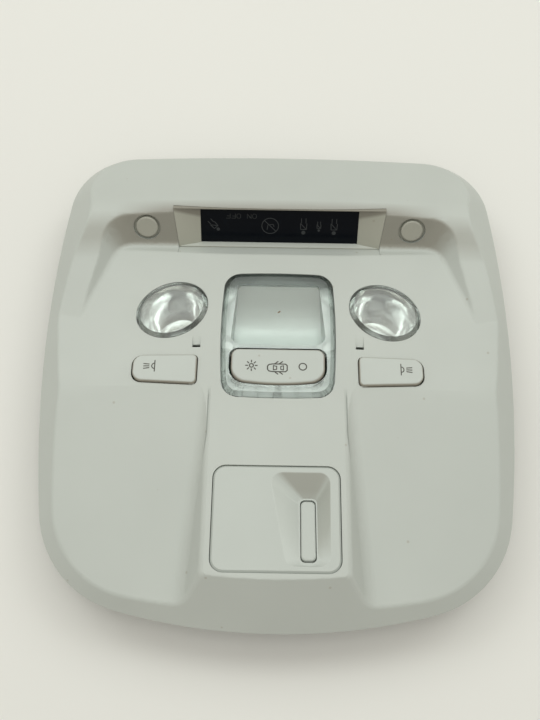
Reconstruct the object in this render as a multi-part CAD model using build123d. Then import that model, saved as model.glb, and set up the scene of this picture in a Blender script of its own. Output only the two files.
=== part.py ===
from build123d import *
import os
from math import atan, cos, degrees, radians, sin, sqrt, tan

# Overhead roof console: dome lamp, two map lamps, indicator display, blind switch.
# X runs across the car, Y towards its front, Z out of the visible face.
# It is drawn from the headliner plane at Z 0, with the keys' row at Y 0.
# The finished pieces are moved so that the housing's back lies at Z 0 and the outline's middle at Y 0.
# All lengths are in millimetres and all angles in degrees.

# Places along the car, from the row of keys
dome_front = 52.3
display_room = 32.8
brow_setback = 39.9
brow_y = dome_front + display_room
front_reach = brow_y + brow_setback

# Cover outline on the headliner
console_length = 250.0
console_width = 236.6
rear_edge = front_reach - console_length
side_radius = 590.0
widest_y = 9.0
front_bow = 2.0
rear_radius = 300.0
front_corner = 34.0
rear_corner = 52.0
corner_closing = 16.0

# Cover skirt and walls
wall = 2.5
base_land = 2.0
skirt_reach = 34.0
side_slope = 43.0
rear_slope = 49.0
front_slope = 68.0
crest_radius = 3.5

# Cover top: plateau, side panels, ridge and bays
plateau_height = 16.1
plateau_slope = 6.0
panel_tilt = 4.0
ridge_width = 67.0
ridge_draft = 62.0
ridge_rounding = 4.0
ridge_foot = 8.0
ridge_shoulder = 12.0
ridge_shoulder_sink = 1.2
ridge_end_margin = 6.5
ridge_end_radius = 1.4
bay_start = -11.0
bay_slope = 3.0

# Cover front: brow, side rims and the groove under the display
brow_height = 21.5
brow_rounding = 40.0
brow_edge = 2.0
crown_radius = 960.0
crown_arc = 16.0
rim_front_slope = 18.0
nose_y = front_reach + 25.0
rim_points = ((brow_y - 25.1, 16.6), (brow_y - 73.1, 12.76), (brow_y - 125.1, 6.0))
pan_front_half = console_width / 2 - 30.3
pan_side_half = console_width / 2 - 14.3
pan_bend_y = brow_y - 57.1
pan_level = 12.0
pan_front_corner = 16.0
pan_side_corner = 80.0
pan_side_lean = 0.6
pan_low = -10.0
pan_high = 40.0
display_slope = 54.0
groove_bottom = 2.0
groove_slope = 46.0
groove_lip = 3.0

# Fits and flanges
panel_gap = 0.3
button_gap = 0.45
flange_width = 2.0
flange_thickness = 1.5
pivot_clearance = 0.05
slide_clearance = 0.12
seat_clearance = 0.1

# Dome lamp, on the plateau
dome_rear = -17.2
dome_half_mid = 28.4
dome_half_end = 26.8
dome_bow = 0.9
dome_corner = 8.5
lens_proud = 1.4
lens_bevel = 2.4
window_front = 46.0
window_rear = 12.0
window_front_half = 20.8
window_rear_half = 24.0
window_front_corner = 2.0
window_rear_corner = 5.0
reflector_wall = 1.4
reflector_flange = 1.6
dome_bowl_mid = (32.0, -17.0)
dome_bowl_depth = 29.0

# Dome rocker
rocker_half = 23.0
rocker_front = 8.2
rocker_rear = -10.9
rocker_rear_bow = 2.2
rocker_front_corner = 4.0
rocker_rear_corner = 8.0
rocker_proud = 2.4
rocker_depth = 5.6
rocker_edge = 1.6
rocker_wall = 1.8
rocker_end_gap = 1.0
rocker_axis_depth = 4.8
trunnion_radius = 1.5
trunnion_length = 1.6
well_wall = 1.4
well_depth = 9.0
rocker_finger_width = 2.0
rocker_finger_length = 5.0
rocker_finger_depth = 10.8

# Map lamps, on the side panels
panel_offset = 20.5
panel_x = ridge_width / 2 + panel_offset
map_lens_y = 31.0
map_lens_long = 18.5
map_lens_short = 15.2
map_lens_turn = -26.0
map_lens_proud = 1.3
map_lens_bevel = 2.0
bowl_levels = ((11.0, 0.93, 1.5), (21.0, 0.62, 3.5))
map_bowl_wall = 1.2

# Map buttons
button_inner = -14.4
button_outer = 17.2
button_front = 5.0
button_rear_inner = -10.6
button_rear_outer = -8.6
button_inner_corner = 2.2
button_outer_corner = 5.0
button_proud = 1.8
button_depth = 3.6
button_edge = 1.1
button_end_gap = 0.8
button_wall = 1.6
hinge_from_end = 2.2
hinge_depth = 5.2
hinge_pin_radius = 1.3
hinge_pin_length = 1.6
hinge_lug = 2.6
ear_thickness = 2.0
ear_half = 3.2
ear_drop = 8.0
nub_arm = 16.0
nub_radius = 1.6
nub_depth = 5.4

# Lens release slots beside the map lamps
slot_inner = -15.5
slot_width = 4.1
slot_front = 16.8
slot_rear = 9.6
slot_hole = 2.0
slot_ramp_depth = 1.6

# Blind switch plate with its finger scoop, on the ridge
plate_half = 29.3
plate_rear = rear_edge + 24.1
plate_front = plate_rear + 49.3
plate_corner = 6.0
plate_edge = 0.9
plate_rear_tab = 0.8
scoop_front = plate_front - 3.0
scoop_deep = plate_front - 13.4
scoop_rear = plate_rear + 2.9
scoop_left_front = -3.3
scoop_left_rear = 4.5
scoop_right = 24.7
scoop_corner = 5.0
scoop_floor_corner = 2.6
scoop_edge = 1.2
scoop_front_depth = 7.0
scoop_rear_depth = 1.2
scoop_wall = 2.0
scoop_shoulder = 0.6
bar_center_x = 14.65
bar_width = 6.7
bar_length = 29.2
bar_center_y = plate_rear + 20.0
bar_proud = 0.8
bar_depth = 6.0
bar_corner = 2.2
bar_edge = 1.0
bar_side_gap = 0.3
bar_end_gap = 0.8
bar_axis_depth = 4.2
bar_ear_gap = 0.4
bar_ear_thickness = 2.0
bar_ear_half = 4.5
bar_pin_length = 1.7
bar_ear_drop = 12.5
bar_finger_thickness = 2.0
bar_finger_width = 4.0
bar_finger_depth = 14.4

# Display, on the sloped front wall
display_middle = 11.3
bezel_top_half = 55.3
bezel_bottom_half = 52.9
bezel_half_height = 11.0
bezel_recess = 3.0
bezel_depth = 6.0
display_half = 41.5
display_half_height = 9.7
display_thickness = 1.6
display_ledge = 0.4
display_lip = 0.6
bezel_tab_half_height = 6.0
bezel_tab_reach = 3.0
post_radius = 2.0
post_length = 4.4
post_place = (48.0, 6.0)
display_board_half = 51.0
display_board_half_height = 8.5
board_thickness = 1.6
indicator_size = (4.0, 3.0, 1.4)
indicator_pitch = 16.0
indicator_count = 5

# Alarm sensors, on the same wall
sensor_x = 69.4
sensor_radius = 5.7
sensor_hole_radius = 7.1
sensor_proud = 0.4
sensor_flange_radius = 7.9
sensor_body_radius = 6.0
sensor_body_depth = 13.0
sensor_edge = 0.8

# Bulbs and their holders
bulb_level = -7.0
bulb_radius = 4.9
bulb_glass_length = 18.0
bulb_base_width = 9.4
bulb_base_thickness = 2.6
bulb_base_length = 6.0
holder_radius = 6.5
holder_length = 12.0
terminal_size = (1.0, 5.0, 4.0)
terminal_pitch = 6.0
map_bulb_x = panel_x - 1.4
map_bulb_tip = 22.0
dome_bulb_tip = 18.0
bulb_hole_radius = 6.0

# Switch board and switches
board_level = 1.0
board_half = 78.0
board_front = 6.0
board_rear = -17.0
board_tail_half = 22.0
board_tail_rear = -38.5
switch_height = 5.0
map_switch_size = (12.0, 9.0)
map_switch_y = -3.0
plunger_radius = 1.6
plunger_sink = 2.8
plunger_room = 1.6
plunger_rest_gap = 0.35
dome_switch_size = (30.0, 10.0)
dome_switch_y = -2.2
dome_switch_height = 4.0
slider_size = (9.0, 5.0, 3.0)
slider_sink = 2.2
slider_room = 1.2
slider_slot_gap = 0.3
slider_slot_depth = 2.5
blind_switch_size = (16.0, 26.0, 9.0)
blind_slider_size = (5.6, 8.0, 3.8)
blind_slider_sink = 3.3
blind_slider_room = 1.5
blind_slot_depth = 2.8

# Rear housing
housing_depth = 22.0
housing_wall = 2.0
housing_half = console_width / 2 - 32.3
housing_front = 58.0
housing_shoulder = -24.0
housing_tail_half = 36.0
housing_rear = rear_edge + 12.0
housing_corner = 6.0
rib_height = 1.5
rib_width = 1.6
rib_rows = (rear_edge + 35.0, rear_edge + 59.0, -2.0, 22.0, 44.0)
rib_columns = (-66.0, -44.0, -24.0, 0.0, 24.0, 44.0, 66.0)
cradle_width = 14.0
cradle_length = 9.0
board_post_radius = 3.0
board_posts = ((70.0, -12.0), (70.0, 1.5), (30.0, -12.0))

# Screws and their bosses
screw_x = console_width / 2 - 27.3
screw_places = ((screw_x, 34.0), (screw_x, -10.0), (housing_tail_half + 5.5, rear_edge + 25.0))
boss_radius = 4.0
lug_radius = 6.5
lug_thickness = 2.0
screw_radius = 1.5
screw_length = 7.0
screw_head_radius = 3.2
screw_head_height = 1.8
screw_hole_radius = 1.8
pilot_room = 0.5
drive_width = 0.9
drive_length = 3.6
drive_depth = 1.0

# Locating pins and roof clips
pin_x = 58.0
pin_y = front_reach - 21.0
pin_radius = 3.0
pin_length = 9.0
pin_chamfer = 0.8
pin_foot_radius = 5.0
pin_neck_radius = 2.6
pin_neck = 0.8
clip_x = console_width / 2 - 21.3
clip_places = ((clip_x, 50.0), (clip_x, rear_edge + 73.0))
tower_thickness = 3.0
tower_width = 14.0
tower_length = 10.0
clip_sheet = 0.6
clip_width = 10.0
clip_leg = 6.0
clip_barb = 2.4
clip_bend = 0.8
tower_clear = -0.6

# Connector
connector_y = -29.5
connector_half_width = 17.0
connector_half_height = 8.0
connector_wall = 2.2
connector_socket = 13.0
connector_sink = 1.0
contact_size = 1.0
contact_length = 7.0
contact_pitch = 5.0
contacts_per_row = 5
contact_row_gap = 5.0

# Working reach of cutting shapes
reach = 400.0
cut_reach = 40.0
deep_cut = 8.0
overshoot = 1.0
same_place = 0.01
settling_steps = 30


def rise(angle):
    """Height gained over a unit run on a slope of the given angle."""
    return tan(radians(angle))


def slab(outline, low, high):
    """Solid over a flat outline, between two heights."""
    return Pos(0, 0, low) * extrude(outline, high - low, dir=(0, 0, 1))


def mirrored(shape):
    """The same shape on the other side of the car's centre line."""
    return mirror(shape, about=Plane.YZ)


def both_sides(shape):
    """A shape together with its mirror image."""
    return shape + mirrored(shape)


def rod(start, end, radius):
    """Round bar between two points."""
    path = Line(start, end)
    return extrude(Plane(origin=start, z_dir=path % 0) * Circle(radius), path.length)


def cross_prism(points):
    """Solid across the whole width over a closed (y, z) outline."""
    face = make_face(Polyline(*[(0, y, z) for y, z in points], close=True))
    return extrude(face, reach, dir=(1, 0, 0), both=True)


# Planes that carry the pieces
plateau = Plane((0, 0, plateau_height), x_dir=(1, 0, 0),
                z_dir=(0, sin(radians(plateau_slope)), cos(radians(plateau_slope))))
panel = Plane((panel_x, 0, plateau_height - (panel_x - ridge_width / 2) * rise(panel_tilt)),
              x_dir=(1, 0, -rise(panel_tilt)),
              z_dir=(rise(panel_tilt), rise(plateau_slope), 1))
display_y = brow_y - (brow_height - display_middle) / rise(display_slope)
display = Plane((0, display_y, display_middle), x_dir=(1, 0, 0),
                z_dir=(0, -sin(radians(display_slope)), cos(radians(display_slope))))
front_wall = wall * sin(radians(display_slope))
sensor_seat = -front_wall - panel_gap / 2
run_down = (0, cos(radians(plateau_slope)), -sin(radians(plateau_slope)))


def plateau_z(y):
    """Height of the plateau at a place along the car."""
    return plateau_height - y * rise(plateau_slope)


def base_outline(side, front, rear, corner):
    """Console outline, drawn in from its sides, front and rear."""
    half = console_width / 2 - side
    front_y = front_reach - front
    rear_y = rear_edge + rear
    radius = side_radius - side

    def side_x(y):
        return half - radius + sqrt(radius ** 2 - (y - widest_y) ** 2)

    front_x = side_x(front_y - front_bow)
    rear_x = half
    for _ in range(settling_steps):
        meet_y = rear_y + rear_radius - sqrt(rear_radius ** 2 - rear_x ** 2)
        rear_x = side_x(meet_y)
    middle_y = (front_y - front_bow + meet_y) / 2
    middle_x = side_x(middle_y)
    corners = [(-front_x, front_y - front_bow), (front_x, front_y - front_bow),
               (rear_x, meet_y), (-rear_x, meet_y)]
    bulges = [(0, front_y), (middle_x, middle_y), (0, rear_y), (-middle_x, middle_y)]
    arcs = [Edge.make_three_point_arc(corners[i], bulges[i], corners[(i + 1) % 4]) for i in range(4)]
    face = Face(Wire(arcs))
    front_pair = face.vertices().sort_by(Axis.Y)[-2:]
    face = face.fillet_2d(front_corner - corner, front_pair)
    rear_pair = [v for v in face.vertices() if abs(v.Y - meet_y) < same_place]
    return face.fillet_2d(rear_corner - corner, rear_pair)


def skirt(inset):
    """Body under the sloping outer walls."""
    low = base_outline(inset, inset, inset, inset)
    high = base_outline(inset + skirt_reach / rise(side_slope), inset + skirt_reach / rise(front_slope),
                        inset + skirt_reach / rise(rear_slope), inset + corner_closing)
    walls = loft([Pos(0, 0, base_land) * low, Pos(0, 0, base_land + skirt_reach) * high], ruled=True)
    return extrude(low, base_land, dir=(0, 0, 1)) + walls


def roof(drop):
    """Everything under the plateau and the two tilted side panels."""
    top = plateau_height - drop
    fall = (reach - ridge_width / 2) * rise(panel_tilt)
    points = [(-reach, top - fall), (-ridge_width / 2, top), (ridge_width / 2, top),
              (reach, top - fall), (reach, -reach), (-reach, -reach)]
    face = make_face(Polyline(*[(x, 0, z) for x, z in points], close=True))
    return extrude(face, reach, dir=run_down, both=True)


def ridge(drop, inset, rounding):
    """Drafted body of the centre ridge, with rounded shoulders."""
    top = plateau_height - drop
    half = ridge_width / 2 - inset
    lower = cut_reach
    foot = (half + lower / rise(ridge_draft), top - lower)
    brim = half - ridge_width / 4
    peak = (brim, top + (half - brim) * rise(ridge_shoulder))
    arc_run = rounding * rise((ridge_draft - ridge_shoulder) / 2)
    dip = arc_run * sin(radians(ridge_shoulder)) * ridge_shoulder_sink
    corner = (half + dip / rise(ridge_draft), top - dip)
    side = [foot, corner, peak]
    shoulder = FilletPolyline(*[(x, 0, z) for x, z in side], radius=rounding)
    other = mirrored(shoulder)
    closing = [Line((-peak[0], 0, peak[1]), (peak[0], 0, peak[1])),
               Line((-foot[0], 0, foot[1]), (foot[0], 0, foot[1]))]
    face = make_face([*shoulder.edges(), *other.edges(), *closing])
    return extrude(face, reach, dir=run_down, both=True)


def ridge_cove(drop, inset):
    """Hollow rounding where the right side of the ridge meets the floor of its bay."""
    def foot(y):
        top = plateau_z(y) - drop
        floor = plateau_z(bay_start) - drop - (bay_start - y) * rise(bay_slope)
        depth = (top - floor - inset * rise(panel_tilt)) / (1 - rise(panel_tilt) / rise(ridge_draft))
        return Vector(ridge_width / 2 - inset + depth / rise(ridge_draft), y, top - depth)

    start = foot(bay_start)
    along = foot(bay_start - reach) - start
    up = Vector(-cos(radians(ridge_draft)), 0, sin(radians(ridge_draft)))
    out = Vector(cos(radians(panel_tilt)), 0, -sin(radians(panel_tilt)))
    half_turn = up.get_angle(out) / 2
    run = ridge_foot / rise(half_turn)
    middle = start + (up + out).normalized() * (ridge_foot / sin(radians(half_turn)) - ridge_foot)
    arc = Edge.make_three_point_arc(start + up * run, middle, start + out * run)
    sides = Polyline(start + out * run, start, start + up * run)
    face = make_face([arc, *sides.edges()])
    return extrude(face, along.length, dir=along)


def bays(drop, inset, rounding):
    """Space above the lowered bays, left and right of the ridge."""
    level = plateau_z(bay_start) - drop
    front_y = bay_start + cut_reach
    rear_y = bay_start - reach
    points = [(front_y, level + cut_reach * rise(bay_slope)), (rear_y, level - reach * rise(bay_slope)),
              (rear_y, reach), (front_y, reach)]
    lift = ridge_width / 2 * rise(panel_tilt)
    face = make_face(Polyline(*[(0, y, z + lift) for y, z in points], close=True))
    right = extrude(face, reach, dir=(cos(radians(panel_tilt)), 0, -sin(radians(panel_tilt))))
    return both_sides(right - ridge(drop, inset, rounding) - ridge_cove(drop, inset))


def rim(drop):
    """Crowned body under the brow and the side rims."""
    nose = (nose_y, brow_height - (nose_y - brow_y) * rise(rim_front_slope))
    line = [(0, y, z - drop) for y, z in (nose, (brow_y, brow_height), *rim_points)]
    top = FilletPolyline(*line, radius=brow_rounding)
    sides = Polyline(line[-1], (0, line[-1][1], -cut_reach), (0, nose_y, -cut_reach), line[0])
    face = make_face([*top.edges(), *sides.edges()])
    axis = Axis((0, 0, brow_height - crown_radius), (0, 1, 0))
    return revolve(face.rotate(axis, -crown_arc / 2), axis=axis, revolution_arc=crown_arc)


def pan(grow):
    """Sunken field inside the brow and the side rims; its front wall carries the display."""
    def section(z):
        front_y = brow_y + (z - brow_height) / rise(display_slope) + grow
        front_x = pan_front_half + (z - pan_level) * pan_side_lean + grow
        side_x = pan_side_half + (z - pan_level) + grow
        rear_y = -console_length
        right = [(front_x, front_y), (side_x, pan_bend_y), (side_x, rear_y)]
        left = [(-x, y) for x, y in reversed(right)]
        face = make_face(Polyline(*right, *left, close=True)).face()
        fronts = [v for v in face.vertices() if v.Y > pan_bend_y + overshoot]
        face = face.fillet_2d(pan_front_corner, fronts)
        bends = [v for v in face.vertices() if abs(v.Y - pan_bend_y) < same_place]
        return Pos(0, 0, z) * face.fillet_2d(pan_side_corner, bends)

    return loft([section(pan_low), section(pan_high)], ruled=True)


def groove(drop):
    """Space above the groove that runs below the display."""
    bottom_y = brow_y - (brow_height - groove_bottom) / rise(display_slope)
    low = groove_bottom - drop
    high = low + cut_reach
    return cross_prism([(bottom_y - cut_reach / rise(groove_slope), high), (bottom_y, low),
                        (bottom_y + cut_reach, low), (bottom_y + cut_reach, high)])


def console_form(drop, inset, rounding):
    """Solid form of the console, lowered and drawn in for its inner side."""
    body = skirt(inset)
    field = pan(inset)
    base = (body & roof(drop)) - bays(drop, inset, rounding) - (field & groove(drop))
    return base + ((body & rim(drop)) - field)


def border(faces):
    """Edges that bound only one of some faces."""
    counts = {}
    for face in faces:
        for edge in face.edges():
            counts[edge] = counts.get(edge, 0) + 1
    return [edge for edge, count in counts.items() if count == 1]


def soften(form, field):
    """Rounds the brow, the groove's lip and the crest beside the ridge."""
    solid = form.solid()
    field_faces = field.faces()

    def on_field(face):
        spot = Vertex(*face.position_at(0.5, 0.5))
        return any(other.distance_to(spot) < same_place for other in field_faces)

    def above_panel(edge):
        spot = edge.position_at(0.5)
        panel_z = plateau_z(spot.Y) - (abs(spot.X) - ridge_width / 2) * rise(panel_tilt)
        return spot.Z > panel_z + brow_edge / 4

    brow = [e for e in border([f for f in solid.faces() if on_field(f)]) if above_panel(e)]
    solid = solid.fillet(brow_edge, brow)
    flats = solid.faces().filter_by(GeomType.PLANE)
    floors = [f for f in flats if abs(f.normal_at().Y - sin(radians(groove_slope))) < same_place]
    lip = [e for e in border(floors) if e.position_at(0.5).Z > groove_bottom + brow_edge]
    solid = solid.fillet(groove_lip, lip)
    walls = [f for f in solid.faces() if abs(f.bounding_box().min.Z - base_land) < same_place]
    crest = [e for e in border(walls) if e.bounding_box().min.Z > base_land + overshoot]

    def off_ridge(edge):
        spot = edge.position_at(0.5)
        return spot.Y > bay_start or abs(spot.X) > ridge_width / 2 + ridge_end_margin

    ridge_end = max([e for e in crest if not off_ridge(e)], key=lambda e: e.length)
    ridge_middle = ridge_end.position_at(0.5)
    solid = solid.fillet(crest_radius, [e for e in crest if off_ridge(e)])
    ridge_end = solid.edges().sort_by_distance(ridge_middle)[0]
    return solid.fillet(ridge_end_radius, [ridge_end])


def dome_outline(grow):
    """Outline of the dome lens, with bowed sides and ends."""
    front_y = dome_front + grow
    rear_y = dome_rear - grow
    end_x = dome_half_end + grow
    middle_x = dome_half_mid + grow
    middle_y = (front_y + rear_y) / 2
    corners = [(-end_x, front_y - dome_bow), (end_x, front_y - dome_bow),
               (end_x, rear_y + dome_bow), (-end_x, rear_y + dome_bow)]
    bulges = [(0, front_y), (middle_x, middle_y), (0, rear_y), (-middle_x, middle_y)]
    arcs = [Edge.make_three_point_arc(corners[i], bulges[i], corners[(i + 1) % 4]) for i in range(4)]
    face = Face(Wire(arcs))
    return face.fillet_2d(dome_corner + grow, face.vertices())


def rocker_outline(grow, end_grow):
    """Outline of the dome rocker, bowed at the rear."""
    half = rocker_half + end_grow
    front_y = rocker_front + grow
    rear_y = rocker_rear - grow
    shoulder_y = rear_y + rocker_rear_bow
    edges = [Edge.make_line((-half, front_y), (half, front_y)),
             Edge.make_line((half, front_y), (half, shoulder_y)),
             Edge.make_three_point_arc((half, shoulder_y), (0, rear_y), (-half, shoulder_y)),
             Edge.make_line((-half, shoulder_y), (-half, front_y))]
    face = Face(Wire(edges))
    face = face.fillet_2d(rocker_front_corner + grow, face.vertices().sort_by(Axis.Y)[-2:])
    return face.fillet_2d(rocker_rear_corner + grow, face.vertices().sort_by(Axis.Y)[:2])


def window_outline(grow):
    """Outline of the dome reflector's window."""
    front_x = window_front_half + grow
    rear_x = window_rear_half + grow
    points = [(-front_x, window_front + grow), (front_x, window_front + grow),
              (rear_x, window_rear - grow), (-rear_x, window_rear - grow)]
    face = make_face(Polyline(*points, close=True)).face()
    face = face.fillet_2d(window_front_corner + grow, face.vertices().sort_by(Axis.Y)[-2:])
    return face.fillet_2d(window_rear_corner + grow, face.vertices().sort_by(Axis.Y)[:2])


def map_lens_outline(grow, scale, shift):
    """Outline of a map lens, or a smaller copy of it moved to the rear."""
    shape = Ellipse(map_lens_long * scale + grow, map_lens_short * scale + grow, rotation=map_lens_turn)
    return Pos(0, map_lens_y - shift) * shape


def button_outline(grow, end_grow):
    """Outline of the right map button, narrower and rounder at its outer end."""
    outer_end = button_outer + end_grow
    points = [(button_inner - grow, button_front + grow), (outer_end, button_front + grow),
              (outer_end, button_rear_outer - grow), (button_inner - grow, button_rear_inner - grow)]
    face = make_face(Polyline(*points, close=True)).face()
    face = face.fillet_2d(button_inner_corner + grow, [v for v in face.vertices() if v.X < 0])
    return face.fillet_2d(button_outer_corner + grow, face.vertices().sort_by(Axis.X)[-2:])


def plate_outline(grow):
    """Outline of the blind switch plate."""
    length = plate_front - plate_rear + 2 * grow
    shape = RectangleRounded(2 * (plate_half + grow), length, plate_corner + grow)
    return Pos(0, (plate_front + plate_rear) / 2) * shape


def bezel_outline(grow):
    """Outline of the display bezel, wider at the top."""
    top_x = bezel_top_half + grow
    bottom_x = bezel_bottom_half + grow
    edge_v = bezel_half_height + grow
    points = [(-top_x, edge_v), (top_x, edge_v), (bottom_x, -edge_v), (-bottom_x, -edge_v)]
    return make_face(Polyline(*points, close=True)).face()


# Hinge of the right map button, in the panel's plane
hinge_u = button_inner + hinge_from_end
hinge_ends = (button_rear_inner, button_front)


def cover_apertures():
    """Openings through the cover for everything that shows in its face."""
    panel_cut = slab(map_lens_outline(panel_gap, 1, 0), -deep_cut, deep_cut)
    panel_cut += slab(button_outline(button_gap, button_end_gap), -deep_cut, deep_cut)
    hole = Rectangle(slot_width, slot_hole, align=(Align.MIN, Align.MIN))
    panel_cut += slab(Pos(slot_inner, slot_rear) * hole, -deep_cut, deep_cut)
    ramp = [(slot_inner, slot_front, 0), (slot_inner, slot_rear, -slot_ramp_depth),
            (slot_inner, slot_rear, deep_cut), (slot_inner, slot_front, deep_cut)]
    panel_cut += extrude(make_face(Polyline(*ramp, close=True)), slot_width, dir=(1, 0, 0))
    plateau_cut = slab(dome_outline(panel_gap), -deep_cut, deep_cut)
    plateau_cut += slab(plate_outline(panel_gap), -deep_cut, deep_cut)
    wall_cut = slab(bezel_outline(panel_gap / 2), -deep_cut, deep_cut)
    sensor_cut = slab(Circle(sensor_hole_radius), -deep_cut, deep_cut)
    spot_face = Circle(sensor_flange_radius + panel_gap)
    sensor_cut += slab(spot_face, sensor_seat - flange_thickness - panel_gap, sensor_seat)
    wall_cut += both_sides(Pos(sensor_x, 0, 0) * sensor_cut)
    panel_cuts = both_sides(panel.location * panel_cut)
    return [panel_cuts, plateau.location * plateau_cut, display.location * wall_cut]


def hinge_ears():
    """Ears under the right panel that carry the map button's pins."""
    block = Rectangle(2 * ear_half, ear_thickness, align=(Align.CENTER, Align.MIN))
    front = Pos(hinge_u, hinge_ends[1] + button_gap) * block
    rear = Pos(hinge_u, hinge_ends[0] - button_gap - ear_thickness) * block
    ears = slab(front, -ear_drop, -wall / 2) + slab(rear, -ear_drop, -wall / 2)
    bore = rod((hinge_u, -cut_reach, -hinge_depth), (hinge_u, cut_reach, -hinge_depth),
               hinge_pin_radius + pivot_clearance)
    return panel.location * (ears - bore)


def front_cover():
    """Moulded cover: the console's form as an open shell with its bosses, ears, pins and towers."""
    outer = soften(console_form(0, 0, ridge_rounding), pan(0))
    inner = console_form(wall, wall, ridge_rounding / 2)
    cover = outer - inner
    tall = brow_height * 2
    studs = [Pos(x, y, 0) * slab(Circle(boss_radius), 0, tall) for x, y in screw_places]
    tower_plan = Rectangle(tower_thickness, tower_width)
    studs += [Pos(x, y, 0) * slab(tower_plan, 0, tall) for x, y in clip_places]
    studs += [Pos(pin_x, pin_y, 0) * slab(Circle(pin_foot_radius), pin_neck, tall)]
    for stud in studs:
        cover += both_sides(stud & outer)
    cover += both_sides(hinge_ears())
    for cut in cover_apertures():
        cover -= cut
    for x, y in screw_places:
        pilot = Pos(x, y, 0) * slab(Circle(screw_radius), 0, screw_length - lug_thickness + pilot_room)
        cover -= both_sides(pilot)
    for x, y in clip_places:
        tower = Pos(x, y, 0) * slab(tower_plan, -tower_length, 0)
        cover += both_sides(tower)
    pin = slab(Circle(pin_radius), -pin_length, 0)
    pin = chamfer(pin.edges().sort_by(Axis.Z)[0], pin_chamfer)
    pin += slab(Circle(pin_neck_radius), 0, pin_neck)
    return cover + both_sides(Pos(pin_x, pin_y, 0) * pin)


def dome_lens():
    """Clear dome lens with a polished bevel, open over the rocker."""
    body = slab(dome_outline(0), -wall, lens_proud)
    top_rim = body.faces().sort_by(Axis.Z)[-1].edges()
    body = chamfer(top_rim, lens_proud, lens_bevel)
    well = slab(rocker_outline(button_gap, rocker_end_gap), -deep_cut, deep_cut)
    return plateau.location * (body - well)


def dome_frame():
    """Frame behind the dome lens, with the rocker's well and the seat of the reflector."""
    low = -wall - flange_thickness
    flange = slab(dome_outline(flange_width), low, -wall)
    well_out = slab(rocker_outline(button_gap + well_wall, rocker_end_gap + well_wall), -well_depth, -wall)
    well_in = slab(rocker_outline(button_gap, rocker_end_gap), -cut_reach, cut_reach)
    window = slab(window_outline(0), -cut_reach, cut_reach)
    axis_end = rocker_front + button_gap + well_wall
    axis = rod((0, -cut_reach, -rocker_axis_depth), (0, axis_end, -rocker_axis_depth),
               trunnion_radius + pivot_clearance)
    return plateau.location * (flange + well_out - well_in - window - axis)


def dome_bowl(grow):
    """Space inside the dome reflector, or its outside with a wall added."""
    top = -wall - flange_thickness
    front = (0, window_front + grow, top)
    rear = (0, window_rear - grow, -dome_bowl_depth - grow)
    middle = (0, dome_bowl_mid[0] + grow / 2, dome_bowl_mid[1] - grow)
    arc = ThreePointArc(front, middle, rear)
    sides = Polyline(rear, (0, window_rear - grow, top), front)
    face = make_face([*arc.edges(), *sides.edges()])
    trough = extrude(face, reach, dir=(1, 0, 0), both=True)
    return trough & slab(window_outline(grow), -reach, top)


def bulb_axis_bore(x, tip):
    """Hole for a bulb through the rear wall of its reflector."""
    start = (x, tip - 2 * bulb_glass_length, bulb_level)
    return rod(start, (x, tip - bulb_radius, bulb_level), bulb_hole_radius)


def dome_reflector():
    """Silvered trough under the dome lens."""
    top = -wall - flange_thickness
    shell = dome_bowl(reflector_wall) + slab(window_outline(reflector_flange), top - flange_thickness, top)
    shell = plateau.location * (shell - dome_bowl(0))
    return shell - bulb_axis_bore(0, dome_bulb_tip)


def rocker_sides():
    """Outside of the dome rocker with its rounded rim."""
    body = slab(rocker_outline(0, 0), -rocker_depth, rocker_proud)
    return fillet(body.faces().sort_by(Axis.Z)[-1].edges(), rocker_edge)


def dome_rocker():
    """Three-way rocker of the dome lamp, hollow underneath, with its pins and drive finger."""
    hollow = slab(rocker_outline(-rocker_wall, -rocker_wall), -deep_cut, rocker_proud - rocker_wall)
    body = rocker_sides() - hollow
    web = Rectangle(2 * trunnion_radius, rocker_front - rocker_rear - rocker_wall)
    web = Pos(0, (rocker_front + rocker_rear) / 2) * web
    body += slab(web, -rocker_axis_depth - trunnion_radius, rocker_proud - rocker_wall)
    pin_rear = rocker_rear - trunnion_length
    pin_front = rocker_front + trunnion_length
    body += rod((0, pin_rear, -rocker_axis_depth), (0, pin_front, -rocker_axis_depth), trunnion_radius)
    finger = Pos(0, dome_switch_y + rocker_finger_depth * rise(plateau_slope))
    finger = finger * Rectangle(rocker_finger_width, rocker_finger_length)
    body += slab(finger, -rocker_finger_depth, -rocker_axis_depth)
    return plateau.location * body


def map_lens():
    """Right map lens: a clear plug with a bevelled rim and a flange behind the cover."""
    body = slab(map_lens_outline(0, 1, 0), -wall - flange_thickness, map_lens_proud)
    body = chamfer(body.faces().sort_by(Axis.Z)[-1].edges(), map_lens_proud, map_lens_bevel)
    flange = slab(map_lens_outline(flange_width, 1, 0), -wall - flange_thickness, -wall)
    return panel.location * (body + flange)


def map_bowl(grow):
    """Space inside the right map reflector, or its outside with a wall added."""
    top = -wall - flange_thickness
    rings = [Pos(0, 0, top) * map_lens_outline(grow - flange_thickness / 2, 1, 0)]
    for depth, scale, shift in bowl_levels:
        rings.append(Pos(0, 0, top - depth - grow) * map_lens_outline(grow, scale, shift))
    return loft(rings)


def map_reflector():
    """Right map reflector: a deep silvered bowl with a flange under the lens."""
    top = -wall - flange_thickness
    flange = slab(map_lens_outline(flange_width, 1, 0), top - map_bowl_wall, top)
    shell = panel.location * (map_bowl(map_bowl_wall) + flange - map_bowl(0))
    return shell - bulb_axis_bore(map_bulb_x, map_bulb_tip)


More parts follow.
